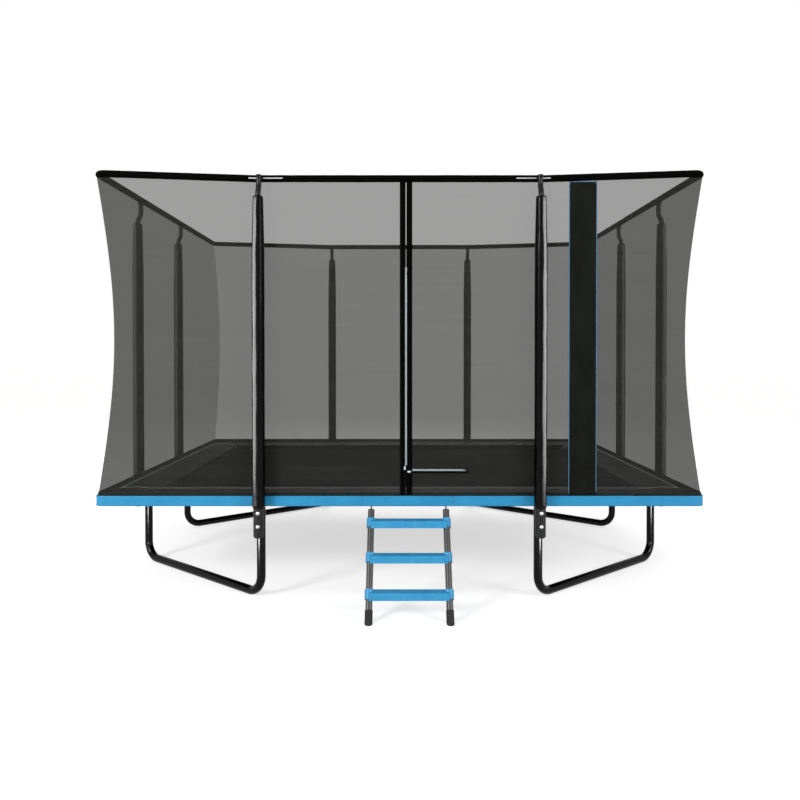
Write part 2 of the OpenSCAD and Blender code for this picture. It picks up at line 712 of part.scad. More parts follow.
module edge_band()
    placed() color("#3399cc") translate([0, 0, band_low]) difference() {
        linear_extrude(bed_h - band_low) difference() {
            rounded_plan(frame_w, frame_d, band_r);
            rounded_plan(frame_w - 2 * band_t, frame_d - 2 * band_t, band_r - band_t);
        }
        translate([flap_x0 - fit, -hd - 1, -1]) cube([flap_w + 2 * fit, band_t + 2, bed_h]);
    }
module band_flap() placed() color("#3399cc")
    translate([flap_x0, -hd, band_low]) cube([flap_w, band_t, bed_h - band_low]);

mat_w = frame_w - 2 * mat_in;
mat_d = frame_d - 2 * mat_in;

module jump_mat() placed() color("#0d0e0d")
    translate([0, 0, rail_z - mat_t / 2]) linear_extrude(mat_t) rounded_plan(mat_w, mat_d, 60);

module mat_webbing()
    placed() color("#1a1b1a") translate([0, 0, rail_z + mat_t / 2]) linear_extrude(2) difference() {
        rounded_plan(mat_w, mat_d, 60);
        rounded_plan(mat_w - 80, mat_d - 80, 20);
    }

// Places children at each spring, in a frame with -Y outwards and its origin on the band's face
module at_springs() {
    margin = 95;
    for (side = [0, 1], k = [0:springs_long - 1])
        rotate([0, 0, 180 * side])
            translate([(k / (springs_long - 1) - 0.5) * (mat_w - 2 * margin), -hd, rail_z]) children();
    for (side = [-90, 90], k = [0:springs_short - 1])
        rotate([0, 0, side])
            translate([(k / (springs_short - 1) - 0.5) * (mat_d - 2 * margin), -hw, rail_z]) children();
}

module v_ring()
    translate([0, mat_in, -2]) linear_extrude(4) difference() {
        polygon([[-17, 0], [17, 0], [5, -28], [-5, -28]]);
        polygon([[-11, -4], [11, -4], [2.5, -24], [-2.5, -24]]);
    }
module v_rings() placed() color("silver") at_springs() v_ring();

// Each spring as its coil's outer shape, with a straight hook end on either side, cut short at the sleeves
module springs() {
    from = rail_in + rail_d / 2 + fit;
    placed() color("silver") difference() {
        at_springs()
            translate([0, from, 0]) rotate([-90, 0, 0]) rotate_extrude($fn = 24) polygon([
                [0, 0], [2, 0], [2, 16], [spring_d / 2, 24], [spring_d / 2, spring_l - 24],
                [2, spring_l - 16], [2, spring_l], [0, spring_l]
            ]);
        for (i = [0:7]) at_post(i) translate([0, rail_in, rail_z])
            bar_x(2 * tee_r + 2 * fit, -tee_l / 2 - fit, tee_l / 2 + fit);
    }
}

// ---- Ladder ----

module ladder_frame() translate([ladder_x, rail_in - hd, rail_z]) rotate([-lean, 0, 0]) children();

// A stile: a tube with a flat neck that carries the hook over the front rail
module stile(side) {
    tube_from = rail_d / 2 + 27;
    tube_end = 24;
    placed() color("#2b2c2b") ladder_frame() translate([side * ladder_w / 2, 0, 0]) {
        difference() {
            union() {
                translate([0, 0, tube_end - stile_l])
                    cylinder(d = stile_d, h = stile_l - tube_end - tube_from, $fn = round_fn);
                translate([-3, -8, -tube_from - 1]) cube([6, 16, tube_from - rail_d / 2]);
            }
            translate([0, 0, tube_end - stile_l - 1])
                cylinder(d = stile_d - 2 * tube_wall, h = stile_l - tube_end - tube_from - 3, $fn = round_fn);
            rotate([0, 90, 0]) cylinder(r = rail_d / 2 + fit, h = 40, center = true, $fn = round_fn);
        }
        rotate([90, 0, 90]) rotate([0, 0, 30 + lean]) rotate_extrude(angle = 243 - lean, $fn = 96)
            translate([rail_d / 2 + fit, -hook_w / 2]) square([2.3, hook_w]);
    }
}
module stile_left() stile(-1);
module stile_right() stile(1);

// A moulded step: a level tread, hollow below, with a collar round each stile
module step(n) {
    s = stile_l - 130 - n * step_gap;
    collar_r = stile_d / 2 + 5.5;
    wall = 3;
    placed() color("#3ba3d6") ladder_frame() difference() {
        union() {
            for (x = [-1, 1]) translate([x * ladder_w / 2, 0, -s - step_h * 0.65])
                cylinder(r = collar_r, h = step_h * 1.3, $fn = round_fn);
            translate([0, 0, -s]) rotate([lean, 0, 0]) step_tread(wall);
        }
        for (x = [-1, 1]) translate([x * ladder_w / 2, 0, -s - 2.5 * step_h])
            cylinder(d = stile_d + 2 * fit, h = 5 * step_h, $fn = round_fn);
    }
}

module step_tread(wall) {
    r = 8;
    half = ladder_w / 2;
    difference() {
        translate([-half, 0, 0]) rotate([90, 0, 90]) linear_extrude(2 * half)
            difference() {
                step_outline(step_depth, step_h, r);
                translate([0, -wall]) square([step_depth - 2 * wall, step_h], center = true);
            }
    }
    for (x = [-half / 2, 0, half / 2])
        translate([x - wall / 2, -step_depth / 2 + wall / 2, -step_h / 2 + wall])
            cube([wall, step_depth - wall, step_h - 1.5 * wall]);
}

module step_outline(d, h, r) {
    translate([0, -r / 2]) square([d, h - r], center = true);
    square([d - 2 * r, h], center = true);
    for (y = [-1, 1]) translate([y * (d / 2 - r), h / 2 - r]) circle(r = r, $fn = 32);
}
module step_low() step(0);
module step_mid() step(1);
module step_high() step(2);

// Rubber feet, cut level where they stand
module stile_feet()
    placed() color("#101110") intersection() {
        for (side = [-1, 1])
            ladder_frame() translate([side * ladder_w / 2, 0, -stile_l - foot_h]) difference() {
                cylinder(r = foot_r, h = 2.5 * foot_h, $fn = round_fn);
                translate([0, 0, foot_h + foot_socket - fit])
                    cylinder(d = stile_d + 2 * fit, h = 2.5 * foot_h, $fn = round_fn);
            }
        translate([-hw, -hd - frame_d / 2, 0]) cube([frame_w, frame_d, bed_h]);
    }

rail_front();
rail_back();
rail_sides();
rail_corner_fl();
rail_corner_fr();
rail_corner_bl();
rail_corner_br();
tee_joints();
leg_fl();
leg_fr();
leg_bl();
leg_br();
pole_front_l();
pole_front_r();
pole_back_l();
pole_back_r();
pole_left_f();
pole_left_b();
pole_right_f();
pole_right_b();
foam_front();
foam_back();
foam_left();
foam_right();
pole_boots();
pole_bolts();
pole_caps();
top_bolts();
top_rail_front();
top_rail_back();
top_rail_left();
top_rail_right();
top_elbows();
top_hem();
net_front_l();
net_front_r();
net_left();
net_right();
net_back();
zip_strips();
banner();
door_flap();
zip_slider_up();
zip_slider_side();
pad_front();
pad_back();
pad_left();
pad_right();
edge_band();
band_flap();
jump_mat();
mat_webbing();
v_rings();
springs();
stile_left();
stile_right();
step_low();
step_mid();
step_high();
stile_feet();
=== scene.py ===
import json
import math

import bmesh
import bpy
from bmesh.types import BMEdge, BMVert
from mathutils import Matrix, Vector, noise

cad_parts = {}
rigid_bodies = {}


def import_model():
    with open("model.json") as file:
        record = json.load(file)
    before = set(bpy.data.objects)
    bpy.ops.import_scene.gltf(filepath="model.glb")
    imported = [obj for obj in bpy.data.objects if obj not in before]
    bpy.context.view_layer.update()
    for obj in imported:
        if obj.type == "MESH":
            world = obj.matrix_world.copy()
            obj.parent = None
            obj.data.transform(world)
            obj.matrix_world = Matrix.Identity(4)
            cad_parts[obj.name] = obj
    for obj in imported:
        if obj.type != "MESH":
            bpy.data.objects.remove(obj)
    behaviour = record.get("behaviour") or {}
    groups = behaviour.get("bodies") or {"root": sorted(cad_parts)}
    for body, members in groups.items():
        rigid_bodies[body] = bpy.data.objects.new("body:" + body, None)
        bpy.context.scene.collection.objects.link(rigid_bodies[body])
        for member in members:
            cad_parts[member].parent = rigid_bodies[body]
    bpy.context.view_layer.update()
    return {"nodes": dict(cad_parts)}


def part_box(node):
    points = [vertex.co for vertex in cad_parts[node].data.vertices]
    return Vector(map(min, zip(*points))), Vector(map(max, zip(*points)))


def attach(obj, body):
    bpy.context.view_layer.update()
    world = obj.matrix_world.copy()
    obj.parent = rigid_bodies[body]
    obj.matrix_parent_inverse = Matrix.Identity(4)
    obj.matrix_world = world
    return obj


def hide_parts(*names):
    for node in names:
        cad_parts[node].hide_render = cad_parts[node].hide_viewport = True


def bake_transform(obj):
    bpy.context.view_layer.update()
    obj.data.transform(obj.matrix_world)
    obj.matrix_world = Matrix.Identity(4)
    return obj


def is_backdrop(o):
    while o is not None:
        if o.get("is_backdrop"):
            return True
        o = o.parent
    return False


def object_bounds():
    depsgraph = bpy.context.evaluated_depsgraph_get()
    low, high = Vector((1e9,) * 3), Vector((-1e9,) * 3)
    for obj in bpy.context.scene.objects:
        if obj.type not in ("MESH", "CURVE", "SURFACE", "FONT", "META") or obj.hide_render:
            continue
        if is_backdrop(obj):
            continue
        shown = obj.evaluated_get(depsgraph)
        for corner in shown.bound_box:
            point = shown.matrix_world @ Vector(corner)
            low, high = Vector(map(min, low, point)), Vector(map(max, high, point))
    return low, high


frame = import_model()
nodes = frame["nodes"]
scene = bpy.context.scene

# The bed's own frame: its middle, half sizes and the heights of its edge band
bandLow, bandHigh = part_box("edge_band")
halfW = (bandHigh.x - bandLow.x) / 2
halfD = (bandHigh.y - bandLow.y) / 2
midY = (bandHigh.y + bandLow.y) / 2
bedZ, skirtZ = bandHigh.z, bandLow.z
# each side's turn in degrees, its distance from the middle and half its length
sides = {"Front": (0, halfD, halfW), "Back": (180, halfD, halfW),
         "Left": (-90, halfW, halfD), "Right": (90, halfW, halfD)}


def sideMatrix(side):
    # a side's own frame: X along it, Y inwards from the band's face, Z up
    turn, out, _ = sides[side]
    return (Matrix.Translation((0, midY, 0)) @ Matrix.Rotation(math.radians(turn), 4, "Z")
            @ Matrix.Translation((0, -out, 0)))


def colour(code):
    parts = [int(code[i:i + 2], 16) / 255 for i in (1, 3, 5)]
    return [p / 12.92 if p <= 0.04045 else ((p + 0.055) / 1.055) ** 2.4 for p in parts] + [1]


def addNode(material, kind, settings=None, links=None):
    node = material.node_tree.nodes.new(kind)
    for name, value in (settings or {}).items():
        if isinstance(name, int) or name in node.inputs:
            node.inputs[name].default_value = value
        else:
            setattr(node, name, value)
    for name, source in (links or {}).items():
        material.node_tree.links.new(source, node.inputs[name])
    return node


def newMaterial(name, settings):
    material = bpy.data.materials.new(name)
    material.use_nodes = True
    for key, value in settings.items():
        material.node_tree.nodes["Principled BSDF"].inputs[key].default_value = value
    return material


def feed(owner, socket, source, kind="Principled BSDF"):
    owner.node_tree.links.new(source, owner.node_tree.nodes[kind].inputs[socket])


def noiseHeight(material, scale, detail=2.0, stretch=(1, 1, 1), rough=0.5):
    # scale in turns per metre
    where = addNode(material, "ShaderNodeTexCoord")
    spread = addNode(material, "ShaderNodeMapping", {"Scale": stretch}, {"Vector": where.outputs["Object"]})
    return addNode(material, "ShaderNodeTexNoise", {"Scale": scale, "Detail": detail, "Roughness": rough},
                   {"Vector": spread.outputs["Vector"]}).outputs["Fac"]


def mottle(material, low, high, scale, detail=4.0, socket="Base Color", stretch=(1, 1, 1)):
    # colour or roughness that wanders between two values
    cloud = noiseHeight(material, scale, detail, stretch, 0.6)
    ramp = addNode(material, "ShaderNodeValToRGB", links={"Fac": cloud})
    for element, position, value in zip(ramp.color_ramp.elements, (0.3, 0.7), (low, high)):
        element.position = position
        element.color = colour(value) if isinstance(value, str) else (value, value, value, 1)
    feed(material, socket, ramp.outputs["Color"])


def bumps(material, layers):
    # layers: (height source, distance in metres, strength), the finest last
    last = None
    for height, distance, strength in layers:
        links = {"Height": height}
        if last:
            links["Normal"] = last.outputs["Normal"]
        last = addNode(material, "ShaderNodeBump", {"Distance": distance, "Strength": strength}, links)
    feed(material, "Normal", last.outputs["Normal"])


def weaveHeight(material, pitch, axes=(0, 1)):
    # two crossed waves whose product rises at each crossing, one thread to a pitch in metres
    where = addNode(material, "ShaderNodeTexCoord")
    split = addNode(material, "ShaderNodeSeparateXYZ", links={"Vector": where.outputs["Object"]})
    waves = []
    for axis in axes:
        grow = addNode(material, "ShaderNodeMath", {"operation": "MULTIPLY", 1: math.pi / pitch},
                       {0: split.outputs[axis]})
        waves.append(addNode(material, "ShaderNodeMath", {"operation": "SINE"}, {0: grow.outputs[0]}))
    return addNode(material, "ShaderNodeMath", {"operation": "MULTIPLY"},
                   {0: waves[0].outputs[0], 1: waves[1].outputs[0]}).outputs[0]


def makePiece(bm, name, material, body="frame", replaced=()):
    mesh = bpy.data.meshes.new(name)
    bm.to_mesh(mesh)
    bm.free()
    for face in mesh.polygons:
        face.use_smooth = True
    mesh.materials.append(material)
    piece = bpy.data.objects.new(name, mesh)
    scene.collection.objects.link(piece)
    if body:
        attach(piece, body)
    if replaced:
        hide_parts(*replaced)
    return piece


def tubeAlong(points, radius, roundness=2, closed=False, flat=False):
    # a round tube on a run of points, as a bmesh
    curve = bpy.data.curves.new("run", "CURVE")
    curve.dimensions = "3D"
    curve.twist_mode = "Z_UP" if flat else "MINIMUM"
    spline = curve.splines.new("POLY")
    spline.points.add(len(points) - 1)
    for spot, point in zip(spline.points, points):
        spot.co = (*point, 1)
    spline.use_cyclic_u = closed
    curve.bevel_depth = radius
    curve.bevel_resolution = roundness
    curve.use_fill_caps = not closed
    holder = bpy.data.objects.new("run", curve)
    scene.collection.objects.link(holder)
    bpy.context.view_layer.update()
    mesh = bpy.data.meshes.new_from_object(holder.evaluated_get(bpy.context.evaluated_depsgraph_get()))
    bm = bmesh.new()
    bm.from_mesh(mesh)
    bmesh.ops.remove_doubles(bm, verts=bm.verts, dist=1e-6)
    bmesh.ops.recalc_face_normals(bm, faces=bm.faces)
    bpy.data.objects.remove(holder)
    bpy.data.meshes.remove(mesh)
    bpy.data.curves.remove(curve)
    return bm


def only(geometry, kind):
    return [part for part in geometry if isinstance(part, kind)]


def moveAll(bm, matrix):
    bmesh.ops.transform(bm, matrix=matrix, verts=bm.verts)


def sampled(points, step, closed=False):
    # even points along a run, with the direction at each
    run = [Vector(p) for p in points] + ([Vector(points[0])] if closed else [])
    found, carried = [], step / 2
    for a, b in zip(run, run[1:]):
        span = (b - a).length
        if span < 1e-9:
            continue
        while carried < span:
            found.append((a.lerp(b, carried / span), (b - a) / span))
            carried += step
        carried -= span
    return found


stitch = {"pitch": 0.011, "length": 0.0075, "thickness": 0.0011}


def sew(runs, name, material, body="frame"):
    # a row of separate stitches on each run of points
    bm = bmesh.new()
    for points in runs:
        for spot, along in sampled(points, stitch["pitch"]):
            place = (Matrix.Translation(spot) @ along.to_track_quat("X", "Z").to_matrix().to_4x4()
                     @ Matrix.Diagonal((stitch["length"] / 2, stitch["thickness"], stitch["thickness"], 1)))
            bmesh.ops.create_icosphere(bm, subdivisions=1, radius=1, matrix=place)
    return makePiece(bm, name, material, body)


def addSolid(piece, thickness, offset=-1.0):
    wall = piece.modifiers.new("thickness", "SOLIDIFY")
    wall.thickness = thickness
    wall.offset = offset
    wall.use_even_offset = True
    return piece


def addSubdivision(piece, level=1):
    smooth = piece.modifiers.new("smooth", "SUBSURF")
    smooth.levels = smooth.render_levels = level
    return piece


def gridMesh(columns=1, rows=1, size=(1, 1), centre=(0, 0, 0)):
    # a level sheet of faces about a point
    bm = bmesh.new()
    bmesh.ops.create_grid(bm, x_segments=columns, y_segments=rows, size=0.5,
                          matrix=Matrix.Translation(centre) @ Matrix.Diagonal((*size, 1, 1)))
    return bm


def loopPoints(width, depth, radius, z, step=0.02):
    # a rounded rectangle about the bed's middle, anticlockwise
    bm = gridMesh(size=(width, depth), centre=(0, midY, z))
    bmesh.ops.bevel(bm, geom=bm.verts, offset=radius, offset_type="OFFSET", segments=8, profile=0.5,
                    affect="VERTICES", material=-1)
    points = [v.co.copy() for v in bm.faces[:][0].verts]
    bm.free()
    return [spot for spot, _ in sampled(points, step, True)]


print("materials")

# Powder-coated steel tube: a smooth black skin with a faint orange peel of about 2 mm
blackSteel = newMaterial("powderCoatedSteelBlack", {
    "Base Color": colour("#020302"), "IOR": 1.5, "Specular IOR Level": 0.12})
bumps(blackSteel, [(noiseHeight(blackSteel, 420), 0.0003, 0.12)])
mottle(blackSteel, 0.14, 0.2, 26, 5, "Roughness")

# The poles carry the same powder coat, its peel 2.6 mm, a little duller where hands and foam rub it
poleSteel = newMaterial("powderCoatedPoleSteel", {
    "Base Color": colour("#060706"), "IOR": 1.5, "Specular IOR Level": 0.2})
bumps(poleSteel, [(noiseHeight(poleSteel, 380), 0.0003, 0.12)])
mottle(poleSteel, 0.26, 0.4, 18, 5, "Roughness", (1, 1, 0.25))

# Zinc-plated steel: bright blue-grey metal with soft spangle 6 mm across
zinc = newMaterial("zincPlatedSteel", {"Metallic": 1.0})
mottle(zinc, "#a9adae", "#cdd0d0", 160)
mottle(zinc, 0.26, 0.44, 90, 4, "Roughness")

# Galvanised tube: paler than the plated parts, its sheen drawn out along the tube in patches of 17 to 25 mm
galvanised = newMaterial("galvanisedTube", {"Metallic": 1.0})
mottle(galvanised, "#aeb3b6", "#d0d4d6", 60, 3, stretch=(0.2, 1, 1))
mottle(galvanised, 0.24, 0.4, 40, 3, "Roughness")

# Moulded polypropylene: a dull black with the fine spark grain of its mould, 1 mm
mouldedBlack = newMaterial("mouldedPolypropyleneBlack", {
    "Base Color": colour("#0c0d0c"), "IOR": 1.49, "Specular IOR Level": 0.25})
bumps(mouldedBlack, [(noiseHeight(mouldedBlack, 900), 0.0003, 0.25)])
mottle(mouldedBlack, 0.42, 0.58, 40, 3, "Roughness")

# Vinyl sleeve over foam: glossy black film with lengthwise creases, broad ones 95 mm long and fine ones 13 mm
vinylSleeve = newMaterial("vinylFilmGlossy", {
    "Base Color": colour("#030403"), "IOR": 1.45, "Specular IOR Level": 0.1})
bumps(vinylSleeve, [
    (noiseHeight(vinylSleeve, 30, 4, (1, 1, 0.35)), 0.004, 0.4),
    (noiseHeight(vinylSleeve, 150, 3, (1, 1, 0.5)), 0.0008, 0.35)])
mottle(vinylSleeve, 0.18, 0.28, 22, 4, "Roughness", (1, 1, 0.3))

# Knitted polyester net: thread and hole are each near 2 mm, too fine to draw, so the cloth lets light through
# evenly and only its slack rows, about 12 mm apart, show as faint level streaks. The back wall takes a more
# see-through copy of the net, so that two layers one behind the other stay pale
nets = {}
for knit, cover in (("Close", 0.68), ("Open", 0.5)):
    nets[knit] = newMaterial("knittedPolyesterNet" + knit, {
        "Roughness": 0.9, "Alpha": cover, "Specular IOR Level": 0.03})
    mottle(nets[knit], "#2b2c29", "#3b3c38", 9, 5, stretch=(0.15, 0.15, 9))

# Woven polyester webbing: matt black ribs 2 mm apart across the strip
webbing = newMaterial("wovenPolyesterBlack", {"Roughness": 0.9, "Specular IOR Level": 0.02})
mottle(webbing, "#020302", "#070806", 60)
bumps(webbing, [(weaveHeight(webbing, 0.002, (0, 2)), 0.0006, 0.5)])

# Coil zip: nylon, pale and a little blue, its shade wandering every 5 mm so that the teeth read one by one
nylonCoil = newMaterial("nylonZipCoil", {"Roughness": 0.35, "IOR": 1.53})
mottle(nylonCoil, "#b9cbd6", "#dfe9ee", 220)

# Oxford cloth: dark grey-green panel, basket weave of 1.5 mm drawn at 3 mm so that it shows
oxfordCloth = newMaterial("oxfordClothDark", {"Roughness": 0.85, "Specular IOR Level": 0.05})
mottle(oxfordCloth, "#131510", "#1d1f1a", 14, 6, stretch=(1, 1, 0.4))
bumps(oxfordCloth, [(noiseHeight(oxfordCloth, 9, 3), 0.006, 0.25),
                    (weaveHeight(oxfordCloth, 0.003, (0, 2)), 0.0005, 0.4)])

# Piping cord under blue cloth woven at 2.5 mm: the thin bright line round the panel
bluePiping = newMaterial("polyesterPipingBlue", {"Roughness": 0.6, "Specular IOR Level": 0.2})
mottle(bluePiping, "#4b82ac", "#5f96c0", 90)
bumps(bluePiping, [(weaveHeight(bluePiping, 0.0025, (0, 2)), 0.0004, 0.4)])

# Coated pad cover: black PVC on a polyester base, whose leathery emboss is 4 mm across
padCover = newMaterial("coatedPolyesterPadBlack", {"IOR": 1.45, "Specular IOR Level": 0.12})
mottle(padCover, "#121312", "#1c1d1b", 7, 6)
mottle(padCover, 0.42, 0.6, 30, 4, "Roughness")
bumps(padCover, [(noiseHeight(padCover, 11, 3), 0.006, 0.3), (noiseHeight(padCover, 260, 3), 0.0005, 0.45)])

# The same cover cut in blue for the skirt, with a soft ripple of 60 mm between its seams and a 3 mm emboss
bandCover = newMaterial("coatedPolyesterBandBlue", {"IOR": 1.45, "Specular IOR Level": 0.2})
mottle(bandCover, "#2c97cb", "#38a3d8", 6, 6)
mottle(bandCover, 0.38, 0.55, 30, 4, "Roughness")
bumps(bandCover, [(noiseHeight(bandCover, 16, 2, (1, 1, 0.4)), 0.004, 0.3),
                  (noiseHeight(bandCover, 300, 3), 0.0004, 0.35)])

# Jumping mat: woven polypropylene tape 2 mm wide, drawn at 4 mm so that it shows
matWeave = newMaterial("wovenPolypropyleneMat", {"Roughness": 0.9, "Specular IOR Level": 0.03})
mottle(matWeave, "#040503", "#0a0b08", 2.2, 6)
bumps(matWeave, [(weaveHeight(matWeave, 0.004), 0.0008, 0.5)])

# Powder-coated ladder tube: dark grey and satin, with the same orange peel of 2 mm
satinGrey = newMaterial("powderCoatedSteelGrey", {"IOR": 1.5})
mottle(satinGrey, "#2c2d2c", "#333433", 30)
mottle(satinGrey, 0.32, 0.46, 24, 4, "Roughness")
bumps(satinGrey, [(noiseHeight(satinGrey, 420), 0.0003, 0.12)])

# Moulded blue polypropylene of the steps: satin, with mould grain of 1 mm and a faint glow from within
mouldedBlue = newMaterial("mouldedPolypropyleneBlue", {
    "IOR": 1.49, "Specular IOR Level": 0.28, "Subsurface Weight": 0.04, "Subsurface Radius": (0.002, 0.003, 0.005)})
mottle(mouldedBlue, "#339ed6", "#48b0e3", 20)
mottle(mouldedBlue, 0.3, 0.44, 60, 4, "Roughness")
bumps(mouldedBlue, [(noiseHeight(mouldedBlue, 800), 0.0002, 0.3)])

# Binding tape round the net's lower edge: dull grey-black twill of 2 mm, a firm hem against the sheer net
bindingTape = newMaterial("twillBindingTape", {"Roughness": 0.85, "Specular IOR Level": 0.08})
mottle(bindingTape, "#262825", "#33352f", 40)
bumps(bindingTape, [(weaveHeight(bindingTape, 0.002, (0, 2)), 0.0005, 0.4)])

# Pale cord covered in cloth and ribbed every 3 mm by its sewing: the light line on the dark pads
palePiping = newMaterial("polyesterPipingPale", {"Roughness": 0.55, "Specular IOR Level": 0.3})
mottle(palePiping, "#cfd8dd", "#e6ecef", 60)
bumps(palePiping, [(noiseHeight(palePiping, 350), 0.0003, 0.3)])

# Rubber feet: matt black with dusty patches of 15 to 20 mm, duller than the tubes they cap
rubber = newMaterial("mouldedRubberBlack", {"Specular IOR Level": 0.3})
mottle(rubber, "#0e0f0e", "#1c1d1b", 50)
mottle(rubber, 0.6, 0.85, 70, 4, "Roughness")

# Sewing thread, bonded polyester, twisted every 3 mm: blue on the skirt, black elsewhere
threads = {}
for name, low, high in (("Blue", "#2583b5", "#3fa7da"), ("Black", "#0a0b0a", "#1a1b19")):
    threads[name] = newMaterial("sewingThread" + name, {"Roughness": 0.6, "Specular IOR Level": 0.3})
    mottle(threads[name], low, high, 300)

# The frame's own parts keep their shape and take their finish here
finishes = {
    "rail_": blackSteel, "tee_joints": blackSteel, "leg_": blackSteel, "pole_front": poleSteel, "pole_back": poleSteel,
    "pole_left": poleSteel, "pole_right": poleSteel, "pole_boots": mouldedBlack, "pole_caps": mouldedBlack,
    "pole_bolts": zinc, "top_bolts": blackSteel, "top_rail": galvanised, "top_elbows": galvanised, "v_rings": zinc,
    "springs": zinc, "stile_left": satinGrey, "stile_right": satinGrey, "step_": mouldedBlue, "stile_feet": rubber,
    "zip_slider": nylonCoil}
for name, node in nodes.items():
    found = [finish for start, finish in finishes.items() if name.startswith(start)]
    if found:
        node.data.materials.clear()
        node.data.materials.append(found[0])

print("net")

net = {
    "in": 0.0173, "low": bedZ + 0.0003, "draw": 0.058, "cell": 0.03, "rows": 44, "stitched": 0.004,
    "frontLevel": 0.725, "backLevel": 0.585, "frontFrom": 0.996, "sideFrom": halfD / 2,
    "highCorner": 2.1051, "highLevel": 2.0801, "slopeEnd": halfW - 0.0523, "slack": 0.0035,
    "tape": 0.02, "tapeOut": 0.0012, "tapeWall": 0.001, "threadOut": 0.0016}
# tipUp and tipSide are how far the door's two sharp tips stop short of the zips' ends
zipLine = {"x": 0.032, "gap": 0.001, "low": 0.645, "high": 1.655, "sill": 0.3, "strip": 0.03, "tape": 0.015,
           "tipUp": 0.03, "tipSide": 0.01, "sillEnd": 0.01, "wall": 0.0012, "cell": 0.01, "sliderRoom": 0.024}


def netTop(along, level):
    if level is None:
        return net["highCorner"]
    share = min(1, max(0, (abs(along) - level) / (net["slopeEnd"] - level)))
    return net["highLevel"] + (net["highCorner"] - net["highLevel"]) * share


def netSpot(along, rise, half, start, level):
    # where the cloth hangs: drawn in towards its corners, with slack rows under the hem
    low, high = net["low"], netTop(along, level)
    reach = half - net["in"]
    share = max(0, (abs(along) - start) / (reach - start)) ** 2
    hung = math.sin(math.pi * rise)
    draw = net["draw"] * hung * share
    slack = net["slack"] * hung * noise.noise((along * 2.3, rise * 5, half)) * (1 - share)
    return Vector((along - math.copysign(draw, along), net["in"] + draw + abs(slack), low + (high - low) * rise))


def netGrid(x0, x1, half, start, level):
    columns = max(8, round((x1 - x0) / net["cell"]))
    bm = gridMesh(columns, net["rows"], (x1 - x0, 1), ((x0 + x1) / 2, 0.5, 0))
    for v in bm.verts:
        v.co = netSpot(v.co.x, min(1, max(0, v.co.y)), half, start, level)
    if bm.faces[:][0].normal.y > 0:
        bmesh.ops.reverse_faces(bm, faces=bm.faces)
    return bm


def inDoor(point):
    along, up = point.x - zipLine["x"] - zipLine["gap"], point.z - zipLine["low"]
    rise = zipLine["high"] - zipLine["low"]
    return (0 < along < zipLine["sill"] - zipLine["tipSide"] and 0 < up < rise - zipLine["tipUp"]
            and along / zipLine["sill"] + up / rise < 1)


def cutDoor(bm):
    # cuts the cloth along the sill, along the fold between the zips' ends and at the two tips, and gives the flap
    x0 = zipLine["x"] + zipLine["gap"]
    fold = Vector((zipLine["high"] - zipLine["low"], 0, zipLine["sill"])).normalized()
    cuts = [((x0, 0, zipLine["low"]), (0, 0, 1)), ((x0, 0, zipLine["high"]), fold),
            ((x0, 0, zipLine["high"] - zipLine["tipUp"]), (0, 0, 1)),
            ((x0 + zipLine["sill"] - zipLine["tipSide"], 0, zipLine["low"]), (1, 0, 0))]
    for spot, normal in cuts:
        bmesh.ops.bisect_plane(bm, geom=bm.verts[:] + bm.edges[:] + bm.faces[:], plane_co=spot, plane_no=normal,
                               dist=1e-6)
    flap = bm.copy()
    for part, isDoor in ((bm, False), (flap, True)):
        gone = [face for face in part.faces if inDoor(face.calc_center_median()) != isDoor]
        bmesh.ops.delete(part, geom=gone, context="FACES")
    return flap


def netPiece(bm, name, side, node, x0, x1):
    width, area = x1 - x0, areaOf(bm) * 0.999
    moveAll(bm, sideMatrix(side))
    # the back wall takes the more see-through copy of the net, so that two layers one behind the other stay pale
    piece = makePiece(bm, name, nets["Open" if side == "Back" else "Close"], "frame", [node])
    # a tape binds the lower edge, sewn on with two rows
    tape = flatStrip(x0, x1, net["low"], net["low"] + net["tape"], net["in"] - net["tapeOut"], net["tape"] / 2)
    moveAll(tape, sideMatrix(side))
    binding = addSolid(makePiece(tape, name + "Binding", bindingTape, "frame"), net["tapeWall"])
    rows = [[sideMatrix(side) @ Vector((x, net["in"] - net["threadOut"], net["low"] + rise))
             for x in (x0 + net["stitched"], x1 - net["stitched"])] for rise in (0.003, net["tape"] - 0.003)]
    seam = sew(rows, name + "Seam", threads["Black"])


def flatStrip(x0, x1, z0, z1, y, cell=0.02, ripple=0.0):
    # an upright piece of cloth in a side's own frame, facing outwards
    columns, rows = max(1, round((x1 - x0) / cell)), max(1, round((z1 - z0) / cell))
    bm = gridMesh(columns, rows, (x1 - x0, z1 - z0))
    moveAll(bm, Matrix.Translation(((x0 + x1) / 2, y, (z0 + z1) / 2)) @ Matrix.Rotation(math.radians(90), 4, "X"))
    for v in bm.verts:
        v.co.y -= ripple * (0.5 + noise.noise((v.co.x * 6, 0, v.co.z * 3.1)))
    return bm


def areaOf(bm):
    return sum(face.calc_area() for face in bm.faces)


front = sideMatrix("Front")
reachX, reachY = halfW - net["in"], halfD - net["in"]
zipX = zipLine["x"]
bm = netGrid(-reachX, zipX - zipLine["gap"], halfW, net["frontFrom"], net["frontLevel"])
netPiece(bm, "NetFrontLeft", "Front", "net_front_l", -reachX, zipX - zipLine["gap"])

bm = netGrid(zipX + zipLine["gap"], reachX, halfW, net["frontFrom"], net["frontLevel"])
door = cutDoor(bm)
netPiece(bm, "NetFrontRight", "Front", "net_front_r", zipX + zipLine["gap"], reachX)

doorArea = areaOf(door)
moveAll(door, front)
doorNet = makePiece(door, "DoorNet", nets["Close"], "door", ["door_flap"])

for name, side, node in (("NetLeft", "Left", "net_left"), ("NetRight", "Right", "net_right")):
    bm = netGrid(-reachY, reachY, halfD, net["sideFrom"], None)
    netPiece(bm, name, side, node, -reachY, reachY)
bm = netGrid(-reachX, reachX, halfW, net["frontFrom"], net["backLevel"])
netPiece(bm, "NetBack", "Back", "net_back", -reachX, reachX)

print("zip and panel")

